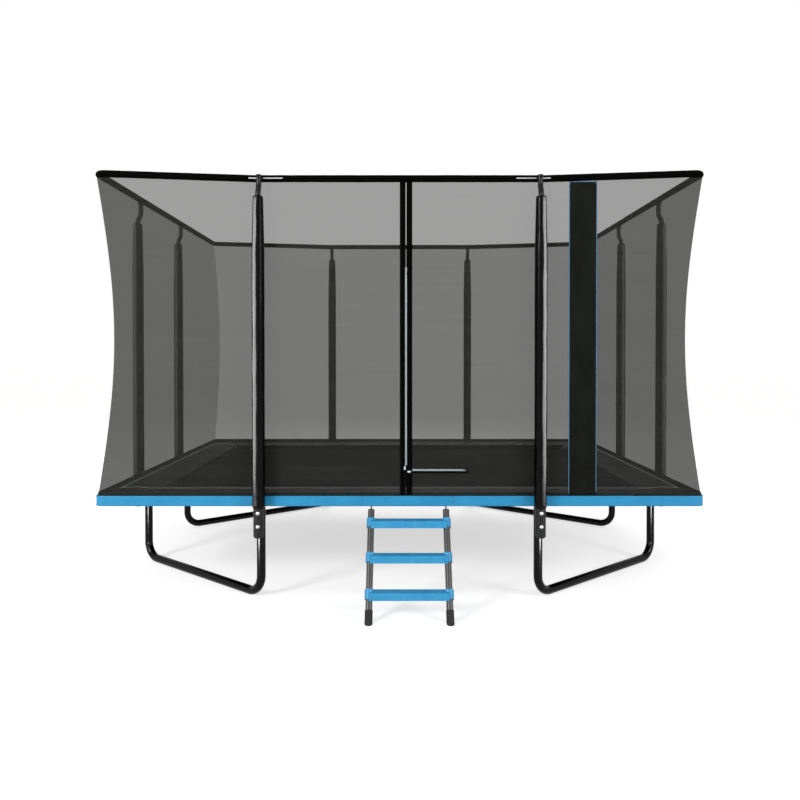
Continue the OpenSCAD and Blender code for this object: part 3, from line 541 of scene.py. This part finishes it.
# the strips lie on the net's outer face
stripY = net["in"] - 0.0016
stripLow, stripHigh = net["low"], net["highLevel"]
left, right = zipX - zipLine["gap"], zipX + zipLine["gap"]


def stripPiece(bm, name, body="frame", node="zip_strips"):
    moveAll(bm, front)
    return addSolid(makePiece(bm, name, webbing, body, [node]), zipLine["wall"])


bm = flatStrip(left - zipLine["strip"], left, stripLow, stripHigh, stripY, zipLine["cell"])
stripLeft = stripPiece(bm, "ZipStripLeft")

bm = flatStrip(right, right + zipLine["strip"], stripLow, stripHigh, stripY, zipLine["cell"])
flap = cutDoor(bm)
stripArea, flapArea = areaOf(bm), areaOf(flap)
stripRight = stripPiece(bm, "ZipStripRight")
stripDoor = stripPiece(flap, "ZipStripDoor", "door", "door_flap")

tapeEnd = right + zipLine["sill"] + zipLine["sillEnd"]
bm = flatStrip(right, tapeEnd, zipLine["low"] - zipLine["tape"], zipLine["low"], stripY, zipLine["cell"])
sillTape = stripPiece(bm, "SillTape")

# Each row of the coil is a run of small rounded teeth, one row on each side of the opening
tooth = {"pitch": 0.0042, "length": 0.0046, "height": 0.0026, "thickness": 0.0022, "stop": 0.002, "edge": 0.0005,
         "out": 0.0016}


def teeth(start, end, across, name, body):
    bm = bmesh.new()
    for spot, along in sampled([start, end], tooth["pitch"]):
        place = (front @ Matrix.Translation(spot + Vector(across) * tooth["length"] / 2)
                 @ along.to_track_quat("Z", "Y").to_matrix().to_4x4())
        size = (tooth["length"], tooth["thickness"], tooth["height"]) if abs(along.z) > 0.5 else (
            tooth["thickness"], tooth["length"], tooth["height"])
        made = bmesh.ops.create_cube(bm, size=1, matrix=place @ Matrix.Diagonal((*size, 1)))
        bmesh.ops.bevel(bm, geom=list({e for v in made["verts"] for e in v.link_edges}), offset=tooth["edge"],
                        segments=1, profile=0.5, affect="EDGES", material=-1)
    bmesh.ops.recalc_face_normals(bm, faces=bm.faces)
    return makePiece(bm, name, nylonCoil, body)


toothY = stripY - tooth["out"]
low, high = zipLine["low"] + zipLine["sliderRoom"], zipLine["high"]
teeth((zipX, toothY, low), (zipX, toothY, high), (-1, 0, 0), "ZipTeethLeft", "frame")
doorTop, doorEnd = high - zipLine["tipUp"], right + zipLine["sill"] - zipLine["tipSide"]
teeth((zipX, toothY, low), (zipX, toothY, doorTop - tooth["stop"]), (1, 0, 0), "ZipTeethDoor", "door")
teeth((zipX, toothY, doorTop + tooth["stop"]), (zipX, toothY, high), (1, 0, 0), "ZipTeethTop", "frame")
sillZ, sillStart = zipLine["low"], right + zipLine["strip"]
teeth((sillStart, toothY, sillZ), (right + zipLine["sill"], toothY, sillZ), (0, 0, -1), "SillTeethLow", "frame")
teeth((sillStart, toothY, sillZ), (doorEnd - tooth["stop"], toothY, sillZ), (0, 0, 1), "SillTeethDoor", "door")

seamY, seamEnd = stripY - zipLine["wall"], 0.01
sew([[front @ Vector((x, seamY, z)) for z in (stripLow + seamEnd, stripHigh - seamEnd)]
     for x in (left - 0.004, left - zipLine["strip"] + 0.004)], "StripSeam", threads["Black"])

# Dark panel: oxford cloth with a blue cord along both sides and the top
panel = {"x": 0.845, "width": 0.136, "y": 0.0135, "ripple": 0.0012, "cord": 0.0019, "cell": 0.008, "wall": 0.0012,
         "turn": 0.002}
panelTop, panelEnd = netTop(panel["x"], net["frontLevel"]), panel["x"] + panel["width"]
bm = flatStrip(panel["x"], panelEnd, net["low"], panelTop, panel["y"], panel["cell"], panel["ripple"])
moveAll(bm, front)
banner = addSolid(makePiece(bm, "DarkPanel", oxfordCloth, "frame", ["banner"]), panel["wall"])
cordLow, cordHigh = net["low"] + panel["turn"], panelTop - panel["turn"]
cordRun = [front @ Vector((x, panel["y"], z)) for x, z in (
    (panel["x"], cordLow), (panel["x"], cordHigh), (panelEnd, cordHigh), (panelEnd, cordLow))]
piping = makePiece(tubeAlong([p for p, _ in sampled(cordRun, 0.02)], panel["cord"]), "PanelPiping", bluePiping,
                   "frame")

print("hem")

# slots show the top rail beside each front pole: where they start and end along the front
hem = {"radius": 0.0173, "wall": 0.002, "bend": 0.035, "corner": 2.1227, "level": 2.0977, "slot": 0.0045,
       "slots": ((0.5795, 0.6795), (0.7105, 0.7505)), "step": 0.03, "bendSteps": 8, "sideSteps": 64}
hemX, hemY = halfW - hem["radius"], halfD - hem["radius"]


def halfRun(level, nearSide):
    # one long side and the corner and short side after it, anticlockwise
    s = 1 if nearSide else -1
    points = []
    stops = [x for slot in hem["slots"] for x in slot] if nearSide else []
    bend, bends, reach = hem["bend"], hem["bendSteps"], hemX - hem["bend"]
    line = set([-level, level, -reach, reach] + stops + [-x for x in stops])
    even = [k * hem["step"] for k in range(-48, 49)]
    line |= {x for x in even if all(abs(x - q) > 0.006 and abs(x + q) > 0.006 for q in line)}

    def put(x, y, z=hem["corner"]):
        points.append(Vector((s * x, midY + s * y, z)))

    for x in sorted(line):
        share = min(1, max(0, (abs(x) - level) / (reach - level)))
        put(x, -hemY, hem["level"] + (hem["corner"] - hem["level"]) * share)
    for k in range(1, bends + 1):
        a = math.radians(-90 + 90 * k / bends)
        put(reach + bend * math.cos(a), -hemY + bend + bend * math.sin(a))
    for k in range(1, hem["sideSteps"]):
        put(hemX, -hemY + bend + 2 * (hemY - bend) * k / hem["sideSteps"])
    for k in range(bends):
        a = math.radians(90 * k / bends)
        put(reach + bend * math.cos(a), hemY - bend + bend * math.sin(a))
    return points


hemPath = halfRun(net["frontLevel"], True) + halfRun(net["backLevel"], False)
bm = tubeAlong(hemPath, hem["radius"], 10, True, True)
gone = []
for face in bm.faces:
    c = face.calc_center_median()
    atFront = c.y < midY - halfD + 0.003 and abs(c.z - hem["level"]) < hem["slot"]
    if atFront and any(a < abs(c.x) < b for a, b in hem["slots"]):
        gone.append(face)
bmesh.ops.delete(bm, geom=gone, context="FACES")
# the sleeve creases a little between its seams
for v in bm.verts:
    v.co.z += 0.0006 * noise.noise((v.co.x * 30, v.co.y * 30, v.co.z * 30))
hemArea = areaOf(bm)
hemPiece = addSolid(makePiece(bm, "TopHem", webbing, "frame", ["top_hem"]), hem["wall"])

print("foam sleeves")

foam = {"outer": 0.0315, "topOuter": 0.0258, "low": 0.4677, "step": 1.73, "high": 2.0, "inner": 0.0194,
        "topInner": 0.0139, "crease": 0.0009, "out": 0.032, "round": 0.002, "film": 0.0006, "rings": 96, "sides": 40}
# where the poles stand: from the middle of the long sides, and from the front face on the short sides
post = {"Front": 0.695, "Back": 0.555, "Near": 0.66, "Far": 1.38}
posts = [("FoamFrontLeft", "Front", -post["Front"], "foam_front"),
         ("FoamFrontRight", "Front", post["Front"], "foam_front"),
         ("FoamBackRight", "Back", -post["Back"], "foam_back"),
         ("FoamBackLeft", "Back", post["Back"], "foam_back")]
for side, node in (("Left", "foam_left"), ("Right", "foam_right")):
    for end in ("Near", "Far"):
        # along a side's own X: the left side runs from back to front, the right from front to back
        along = (halfD - post[end]) if side == "Left" else (post[end] - halfD)
        posts.append(("Foam" + side + end, side, along, node))

for number, (name, side, along, node) in enumerate(posts):
    bm = bmesh.new()
    first = bmesh.ops.create_circle(bm, segments=foam["sides"], radius=foam["inner"],
                                    matrix=Matrix.Translation((along, -foam["out"], foam["low"] + 0.004)))
    edges = list({e for v in first["verts"] for e in v.link_edges})
    levels = [(foam["outer"] - foam["round"], foam["low"])]
    for k in range(foam["rings"] + 1):
        z = foam["low"] + 0.003 + (foam["high"] - foam["low"] - 0.006) * k / foam["rings"]
        share = max(0, (z - foam["step"]) / (foam["high"] - foam["step"]))
        levels.append((foam["outer"] + (foam["topOuter"] - foam["outer"]) * share, z))
    levels += [(foam["topOuter"] - foam["round"], foam["high"]), (foam["topInner"], foam["high"] - foam["round"])]
    centre = Vector((along, -foam["out"], 0))
    for radius, z in levels:
        made = bmesh.ops.extrude_edge_only(bm, edges=edges)["geom"]
        ring, edges = only(made, BMVert), only(made, BMEdge)
        for v in ring:
            flat = Vector((v.co.x - centre.x, v.co.y - centre.y, 0)).normalized()
            crease = foam["crease"] * noise.noise((flat.x * 2.4 + number * 7, flat.y * 2.4, z * 9))
            v.co = centre + flat * (radius + crease - foam["film"]) + Vector((0, 0, z))
    bmesh.ops.recalc_face_normals(bm, faces=bm.faces)
    moveAll(bm, sideMatrix(side))
    sleeve = addSubdivision(makePiece(bm, name, vinylSleeve, "frame", [node]))

print("pads")

longSeams, shortSeams = (0.028, 0.1513, 0.2006), (0.0526,)
pad = {"in": 0.0033, "width": 0.25, "low": bedZ - 0.01, "edge": bedZ, "crown": 0.008, "cell": 0.0125, "gap": 0.0003,
       "corner": 0.037, "piping": 0.003, "pipingDepth": 0.0008, "swell": 0.009, "fullness": 0.75, "fade": 0.06,
       "rows": 20, "seamHalf": 0.003, "seamDepth": 0.0012, "wave": 0.0012, "swellKept": 0.004, "pressure": 4.0,
       "frames": 20, "seams": {"Front": longSeams, "Back": longSeams, "Left": shortSeams, "Right": shortSeams}}


def padGrid(half):
    # both faces of a pad with mitred ends, flat to the sewn line and ready to fill from there
    bm = gridMesh(round(2 * half / pad["cell"]), pad["rows"], centre=(0, 0.5, 0))
    for v in bm.verts:
        across = pad["in"] + (pad["width"] - pad["in"]) * v.co.y
        reach = half - across - pad["gap"]
        v.co = Vector((2 * v.co.x * reach, across, pad["edge"]))
    made = bmesh.ops.extrude_face_region(bm, geom=bm.faces[:])
    for v in only(made["geom"], BMVert):
        v.co.z = pad["low"]
    bmesh.ops.recalc_face_normals(bm, faces=bm.faces)
    return bm


def roundCorners(piece, half):
    # the two outer corners follow the band's rounding
    radius = pad["corner"]
    for v in piece.data.vertices:
        dx, dy = abs(v.co.x) - (half - pad["in"] - radius), pad["in"] + radius - v.co.y
        if dx > 0 and dy > 0 and math.hypot(dx, dy) > radius:
            share = radius / math.hypot(dx, dy)
            v.co.x = math.copysign(half - pad["in"] - radius + dx * share, v.co.x)
            v.co.y = pad["in"] + radius - dy * share


def crownAt(across, seams):
    # how far the filling stands between two sewn lines, 1 in a wide channel
    for a, b in zip(seams, (*seams[1:], pad["width"])):
        if a < across < b:
            return math.sin(math.pi * (across - a) / (b - a)) ** 0.6 * min(1, (b - a) / 0.1) ** 0.5
    return 0


def insetsAt(x, y):
    return {"Front": y - midY + halfD, "Back": midY + halfD - y, "Left": x + halfW, "Right": halfW - x}


def crownOver(across, ends, seams):
    # the filled cover's height over the sewn lines, less towards a mitred end
    return pad["crown"] * pad["fullness"] * crownAt(across, seams) * min(1, max(0, ends / pad["fade"])) ** 0.5


def fill(piece, held, cap):
    # swells the free points with air between the held ones, no further than cap
    before = [v.co.copy() for v in piece.data.vertices]
    group = piece.vertex_groups.new(name="held")
    group.add(held, 1.0, "REPLACE")
    cloth = piece.modifiers.new("fill", "CLOTH")
    cloth.settings.vertex_group_mass = "held"
    cloth.settings.use_pressure = True
    cloth.settings.uniform_pressure_force = pad["pressure"]
    cloth.settings.effector_weights.gravity = 0
    cloth.settings.shrink_min = -0.03
    cloth.collision_settings.use_collision = False
    cloth.point_cache.frame_start, cloth.point_cache.frame_end = 1, pad["frames"]
    for step in range(1, pad["frames"] + 1):
        scene.frame_set(step)
    swollen = piece.evaluated_get(bpy.context.evaluated_depsgraph_get()).to_mesh()
    after = [v.co.copy() for v in swollen.vertices]
    piece.modifiers.remove(cloth)
    piece.vertex_groups.clear()
    scene.frame_set(1)
    for v, a, b in zip(piece.data.vertices, before, after):
        move = b - a
        v.co = a + (move * cap / move.length if move.length > cap else move)


valance = {"drop": 0.0225, "wall": 0.0008, "cell": 0.012, "ripple": 0.0006}
for side, (_, _, half) in sides.items():
    piece = makePiece(padGrid(half), "Pad" + side, padCover, None)
    seams = pad["seams"][side]
    upperFace = pad["edge"] - 0.001
    held = [v.index for v in piece.data.vertices
            if v.co.z < upperFace or v.co.y < seams[0] or v.co.y > pad["width"] - 0.002
            or min(abs(v.co.y - seam) for seam in seams) < pad["seamHalf"] or abs(v.co.x) > half - v.co.y - 0.004]
    fill(piece, held, pad["swell"])
    for v in piece.data.vertices:
        if v.co.z > upperFace:
            toEnd = half - v.co.y - abs(v.co.x)
            ends, crown = min(1, max(0, toEnd / pad["fade"])), crownAt(v.co.y, seams)
            wave = pad["wave"] * noise.noise((v.co.x * 5, v.co.y * 14, 3 + half))
            swell = min(pad["swellKept"], max(0, v.co.z - pad["edge"])) * 0.5
            v.co.z = min(pad["edge"] + pad["crown"] + 0.002,
                         pad["edge"] + crownOver(v.co.y, toEnd, seams) + (wave + swell) * min(1, crown * 2) * ends)
            # a sewn line pulls the cover down
            if min(abs(v.co.y - seam) for seam in seams) < pad["seamHalf"]:
                v.co.z -= pad["seamDepth"]
    roundCorners(piece, half)
    piece.data.transform(sideMatrix(side))
    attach(piece, "frame")
    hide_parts("pad_" + side.lower())
    addSubdivision(piece)
    place = sideMatrix(side)
    # a valance hangs from the inner edge and hides the springs
    reach = half - pad["width"] - 0.001
    bm = flatStrip(-reach, reach, upperFace - valance["drop"], upperFace, pad["width"] - valance["wall"],
                   valance["cell"], valance["ripple"])
    moveAll(bm, place)
    hung = addSolid(makePiece(bm, "PadValance" + side, padCover, "frame"), valance["wall"])
    rows = []
    for across in (*seams[1:-1], pad["width"] - 0.012):
        reach = half - across - 0.004
        rows.append([place @ Vector((x, across, pad["edge"] + 0.0004)) for x in (-reach, reach)])
    sew(rows, "PadSeam" + side, threads["Black"])

# a pale cord runs round the pads in one rectangle and rises over the filling that it crosses
cordX, cordY = halfW - shortSeams[-1], halfD - longSeams[-1]
cordRun = []
for spot, _ in sampled([(-cordX, midY - cordY, 0), (cordX, midY - cordY, 0), (cordX, midY + cordY, 0),
                        (-cordX, midY + cordY, 0)], 0.01, True):
    insets = insetsAt(spot.x, spot.y)
    side = min(insets, key=insets.get)
    toEnd = min(value for name, value in insets.items() if name != side) - insets[side]
    rise = crownOver(insets[side], toEnd, pad["seams"][side])
    cordRun.append(Vector((spot.x, spot.y, pad["edge"] + rise + pad["piping"] - pad["pipingDepth"])))
makePiece(tubeAlong(cordRun, pad["piping"], closed=True), "PadPiping", palePiping, "frame")

print("skirt")

skirt = {"wall": 0.0028, "corner": 0.04, "ripple": 0.0006, "cord": 0.0025, "rows": 8, "seamIn": 0.005,
         "threadOut": 0.0004, "cordOut": 0.0003, "cordUp": 0.001}
seamLevels = (skirtZ + skirt["seamIn"], bedZ - skirt["seamIn"])
flapLow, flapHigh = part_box("band_flap")


def outward(point, by, z):
    # a point moved out of the rounded outline, at height z
    cx = max(-halfW + skirt["corner"], min(halfW - skirt["corner"], point.x))
    cy = max(midY - halfD + skirt["corner"], min(midY + halfD - skirt["corner"], point.y))
    away = Vector((point.x - cx, point.y - cy, 0)).normalized()
    return Vector((point.x, point.y, z)) + away * by


def skirtBand(points):
    bm = bmesh.new()
    verts = [bm.verts.new((p.x, p.y, skirtZ)) for p in points]
    for a, b in zip(verts, verts[1:]):
        bm.edges.new((a, b))
    edges = bm.edges[:]
    for k in range(skirt["rows"]):
        made = bmesh.ops.extrude_edge_only(bm, edges=edges)["geom"]
        edges = only(made, BMEdge)
        bmesh.ops.translate(bm, vec=(0, 0, (bedZ - skirtZ) / skirt["rows"]), verts=only(made, BMVert))
    for v in bm.verts:
        rise = (v.co.z - skirtZ) / (bedZ - skirtZ)
        slack = 1 + noise.noise((v.co.x * 4.5, v.co.y * 4.5, rise))
        v.co = outward(v.co, -skirt["ripple"] * slack * max(0, math.sin(math.pi * rise)) ** 0.5, v.co.z)
    return bm


outline = loopPoints(2 * halfW, 2 * halfD, skirt["corner"], skirtZ, 0.015)
frontFace = midY - halfD
slitLow, slitHigh = flapLow.x - 0.0003, flapHigh.x + 0.0003
around = [p for p in outline if p.y > frontFace + 0.001 or not slitLow - 0.002 < p.x < slitHigh + 0.002]
gap = max(range(len(around)), key=lambda k: (around[k] - around[k - 1]).length)
around = ([Vector((slitHigh, frontFace, skirtZ))] + around[gap:] + around[:gap]
          + [Vector((slitLow, frontFace, skirtZ))])
bm = skirtBand(around)
bmesh.ops.recalc_face_normals(bm, faces=bm.faces)
band = addSolid(makePiece(bm, "SkirtBand", bandCover, "frame", ["edge_band"]), skirt["wall"])
steps = 30
bm = skirtBand([Vector((flapLow.x + (flapHigh.x - flapLow.x) * k / steps, frontFace, skirtZ))
                for k in range(steps + 1)])
bmesh.ops.reverse_faces(bm, faces=[f for f in bm.faces if f.normal.y > 0])
flapPiece = addSolid(makePiece(bm, "SkirtFlap", bandCover, "loose_band", ["band_flap"]), skirt["wall"])
bandThread = sew([[outward(p, skirt["threadOut"], z) for p in around] for z in seamLevels], "SkirtSeams",
                 threads["Blue"])
flapThread = sew([[Vector((x, frontFace - skirt["threadOut"], z)) for x in (flapLow.x + 0.006, flapHigh.x - 0.006)]
                  for z in seamLevels], "FlapSeams", threads["Blue"], "loose_band")
# a corded edge stands along the top of the skirt
cord, cordZ = skirt["cord"], bedZ + skirt["cordUp"]
bandCord = makePiece(tubeAlong([outward(p, skirt["cordOut"] - cord, cordZ) for p in around], cord), "SkirtPiping",
                     bandCover, "frame")
flapCord = makePiece(tubeAlong([Vector((x, frontFace + cord - skirt["cordOut"], cordZ))
                                for x in (flapLow.x + 0.001, flapHigh.x - 0.001)], cord), "FlapPiping",
                     bandCover, "loose_band")

print("mat and springs")

matLow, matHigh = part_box("jump_mat")
mat = {"width": matHigh.x - matLow.x, "depth": matHigh.y - matLow.y, "corner": 0.06, "cell": 0.025, "wall": 0.0025,
       "webbing": 0.04, "webbingWall": 0.0015, "webbingUp": 0.0016, "threadUp": 0.002, "seams": (0.005, 0.035)}
spring = {"from": 0.0443, "length": 0.14, "radius": 0.0085, "wire": 0.0015, "turns": 17, "round": 10,
          "along": {"Front": 20, "Back": 20, "Left": 13, "Right": 13}, "margin": 0.095}
railZ = (matLow.z + matHigh.z) / 2


def roundedSheet(width, depth, corner, z, cell):
    bm = gridMesh(round(width / cell), round(depth / cell), (width, depth), (0, midY, z))
    for v in bm.verts:
        dx, dy = abs(v.co.x) - (width / 2 - corner), abs(v.co.y - midY) - (depth / 2 - corner)
        if dx > 0 and dy > 0:
            share = max(dx, dy) / max(1e-9, math.hypot(dx, dy))
            v.co.x = math.copysign(width / 2 - corner + dx * share, v.co.x)
            v.co.y = midY + math.copysign(depth / 2 - corner + dy * share, v.co.y - midY)
    return bm


bm = roundedSheet(mat["width"], mat["depth"], mat["corner"], matHigh.z, mat["cell"])
bed = addSolid(makePiece(bm, "JumpingMat", matWeave, "mat", ["jump_mat"]), mat["wall"])


def matLoop(inset, up):
    return loopPoints(mat["width"] - 2 * inset, mat["depth"] - 2 * inset, mat["corner"] - inset / 2,
                      matHigh.z + up)


bm = bmesh.new()
for inset in (0, mat["webbing"]):
    ring = [bm.verts.new(p) for p in matLoop(inset, mat["webbingUp"])]
    for a, b in zip(ring, ring[1:] + ring[:1]):
        bm.edges.new((a, b))
bmesh.ops.bridge_loops(bm, edges=bm.edges[:])
bmesh.ops.recalc_face_normals(bm, faces=bm.faces)
if bm.faces[:][0].normal.z < 0:
    bmesh.ops.reverse_faces(bm, faces=bm.faces)
border = addSolid(makePiece(bm, "MatWebbing", webbing, "mat", ["mat_webbing"]), mat["webbingWall"])
seams = sew([matLoop(inset, mat["threadUp"]) for inset in mat["seams"]], "MatSeams", threads["Black"], "mat")


def springRun():
    # one spring's wire, from its hook in the rail to its hook round the V-ring
    length, turns = spring["length"], spring["turns"]
    points = [Vector((0, -0.004, 0)), Vector((0, 0.006, 0)), Vector((0, 0.013, 0.001))]
    for k in range(turns * spring["round"] + 1):
        a = 2 * math.pi * k / spring["round"]
        taper = min(1, (k + 2) / 10, (turns * spring["round"] - k + 2) / 10)
        points.append(Vector((spring["radius"] * taper * math.sin(a),
                              0.02 + (length - 0.04) * k / (turns * spring["round"]),
                              spring["radius"] * taper * math.cos(a))))
    points += [Vector((0, length - 0.012, 0.002)), Vector((0, length - 0.002, 0.0042)),
               Vector((0, length + 0.0042, 0.004)), Vector((0, length + 0.0064, 0.001)),
               Vector((0, length + 0.0062, -0.004))]
    return points


oneSpring = bpy.data.meshes.new("spring")
bm = tubeAlong(springRun(), spring["wire"], 1)
bm.to_mesh(oneSpring)
bm.free()
for side, count in spring["along"].items():
    bm = bmesh.new()
    run = (mat["width"] if side in ("Front", "Back") else mat["depth"]) - 2 * spring["margin"]
    place = sideMatrix(side)
    for k in range(count):
        spot = Matrix.Translation(((k / (count - 1) - 0.5) * run, spring["from"], railZ))
        kept = set(bm.verts)
        bm.from_mesh(oneSpring)
        bmesh.ops.transform(bm, matrix=place @ spot, verts=[v for v in bm.verts if v not in kept])
    piece = makePiece(bm, "Springs" + side, zinc, None, ["springs"])
    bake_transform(piece)

print("studio")


def anyRay(owner, *kinds):
    # 1 for rays of the kinds named and 0 for the rest
    ray = addNode(owner, "ShaderNodeLightPath")
    last = ray.outputs[kinds[0]]
    for kind in kinds[1:]:
        last = addNode(owner, "ShaderNodeMath", {"operation": "MAXIMUM"}, {0: last, 1: ray.outputs[kind]}).outputs[0]
    return last


# Painted studio floor, cloudy over about 0.6 m: it gives the eye a ground with soft shadows
white = (1, 1, 1, 1)
floorPaint = newMaterial("studioFloor", {"Roughness": 0.9, "Specular IOR Level": 0.1, "Emission Color": white})
mottle(floorPaint, "#e9e9e8", "#ececeb", 1.5)
glow = addNode(floorPaint, "ShaderNodeMath", {"operation": "MULTIPLY", 1: 0.62},
               {0: anyRay(floorPaint, "Is Camera Ray", "Is Glossy Ray")})
feed(floorPaint, "Emission Strength", glow.outputs[0])
bm = gridMesh(size=(120, 120))
makePiece(bm, "StudioFloor", floorPaint, None)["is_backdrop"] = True

# what the camera and reflections see is white, while the light that falls on the cloth is weaker
world = bpy.data.worlds.new("studio")
scene.world = world
world.use_nodes = True
level = addNode(world, "ShaderNodeMapRange", {"To Min": 0.42, "To Max": 1.0},
                {"Value": anyRay(world, "Is Camera Ray", "Is Glossy Ray", "Is Transmission Ray")})
feed(world, "Strength", level.outputs["Result"], "Background")
world.node_tree.nodes["Background"].inputs["Color"].default_value = white

# Key, fill and back lamps light the cloth. The others only show as streaks: the soft boxes on the tubes, a panel
# beside each half on its own sleeves, and strips on the floor on the legs, whose reflections lead down to it
allSleeves = [o for o in bpy.data.objects if o.name.startswith("Foam")]
sleeves = {half: [o for o in allSleeves if half in o.name] for half in ("Left", "Right")}
legs = [o for o in bpy.data.objects if o.name.startswith("leg_")]
lamps = {
    "KeyLamp": {"at": (-4.6, -5.2, 3.4), "size": (1.5, 1.5), "power": 195},
    "FillLamp": {"at": (5.0, -4.6, 2.9), "size": (1.7, 1.7), "power": 112},
    "BackLamp": {"at": (0.5, 5.5, 4.8), "size": (2.4, 2.4), "power": 110},
    "SoftBoxLeft": {"at": (-3.9, -3.8, 2.1), "size": (1.5, 3.6), "power": 230, "exclude": allSleeves},
    "SoftBoxRight": {"at": (3.9, -3.8, 2.1), "size": (1.5, 3.6), "power": 170, "exclude": allSleeves}}
for half, x in (("Left", -3.5), ("Right", 3.5)):
    lamps["SidePanel" + half] = {"at": (x, -1.9, 1.4), "size": (4.0, 3.0), "power": 1500, "include": sleeves[half]}
for half, x in (("Left", -1.6), ("Right", 1.6)):
    lamps["FloorStrip" + half] = {"at": (x, -2.3, 0.004), "size": (0.5, 1.6), "power": 420, "faceUp": True,
                                  "include": legs}
for name, lamp in lamps.items():
    light = bpy.data.lights.new(name, "AREA")
    light.shape = "RECTANGLE"
    light.size, light.size_y = lamp["size"]
    light.energy = lamp["power"]
    holder = bpy.data.objects.new(name, light)
    scene.collection.objects.link(holder)
    holder.location = lamp["at"]
    if lamp.get("faceUp"):
        holder.rotation_euler = (math.pi, 0, 0)
    else:
        holder.rotation_euler = (Vector((0, midY, 1.0)) - holder.location).to_track_quat("-Z", "Y").to_euler()
    holder.visible_camera = False
    for choice in ("include", "exclude"):
        if choice in lamp:
            holder.visible_diffuse = False
            lit = bpy.data.collections.new(name + "Pieces")
            for piece in lamp[choice]:
                lit.objects.link(piece)
            for entry in lit.collection_objects:
                entry.light_linking.link_state = choice.upper()
            holder.light_linking.receiver_collection = lit

# the focal length and the row that the lens looks at are in the frame's own pixels
camera = {"x": 0.002, "distance": 3.301, "height": 1.22, "pitch": 0.62, "focal": 664.6, "axisRow": 362.2, "frame": 800}
lens = bpy.data.cameras.new("Camera")
lens.sensor_width = 36
lens.lens = 36 * camera["focal"] / camera["frame"]
lens.shift_y = (camera["axisRow"] - camera["frame"] / 2) / camera["frame"]
viewer = bpy.data.objects.new("Camera", lens)
scene.collection.objects.link(viewer)
viewer.location = (camera["x"], bandLow.y - camera["distance"], camera["height"])
viewer.rotation_euler = (math.radians(90 - camera["pitch"]), 0, 0)
scene.camera = viewer
scene.view_settings.view_transform = "Standard"

low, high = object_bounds()
print("visual box", [round(v, 4) for v in (*low, *high)])
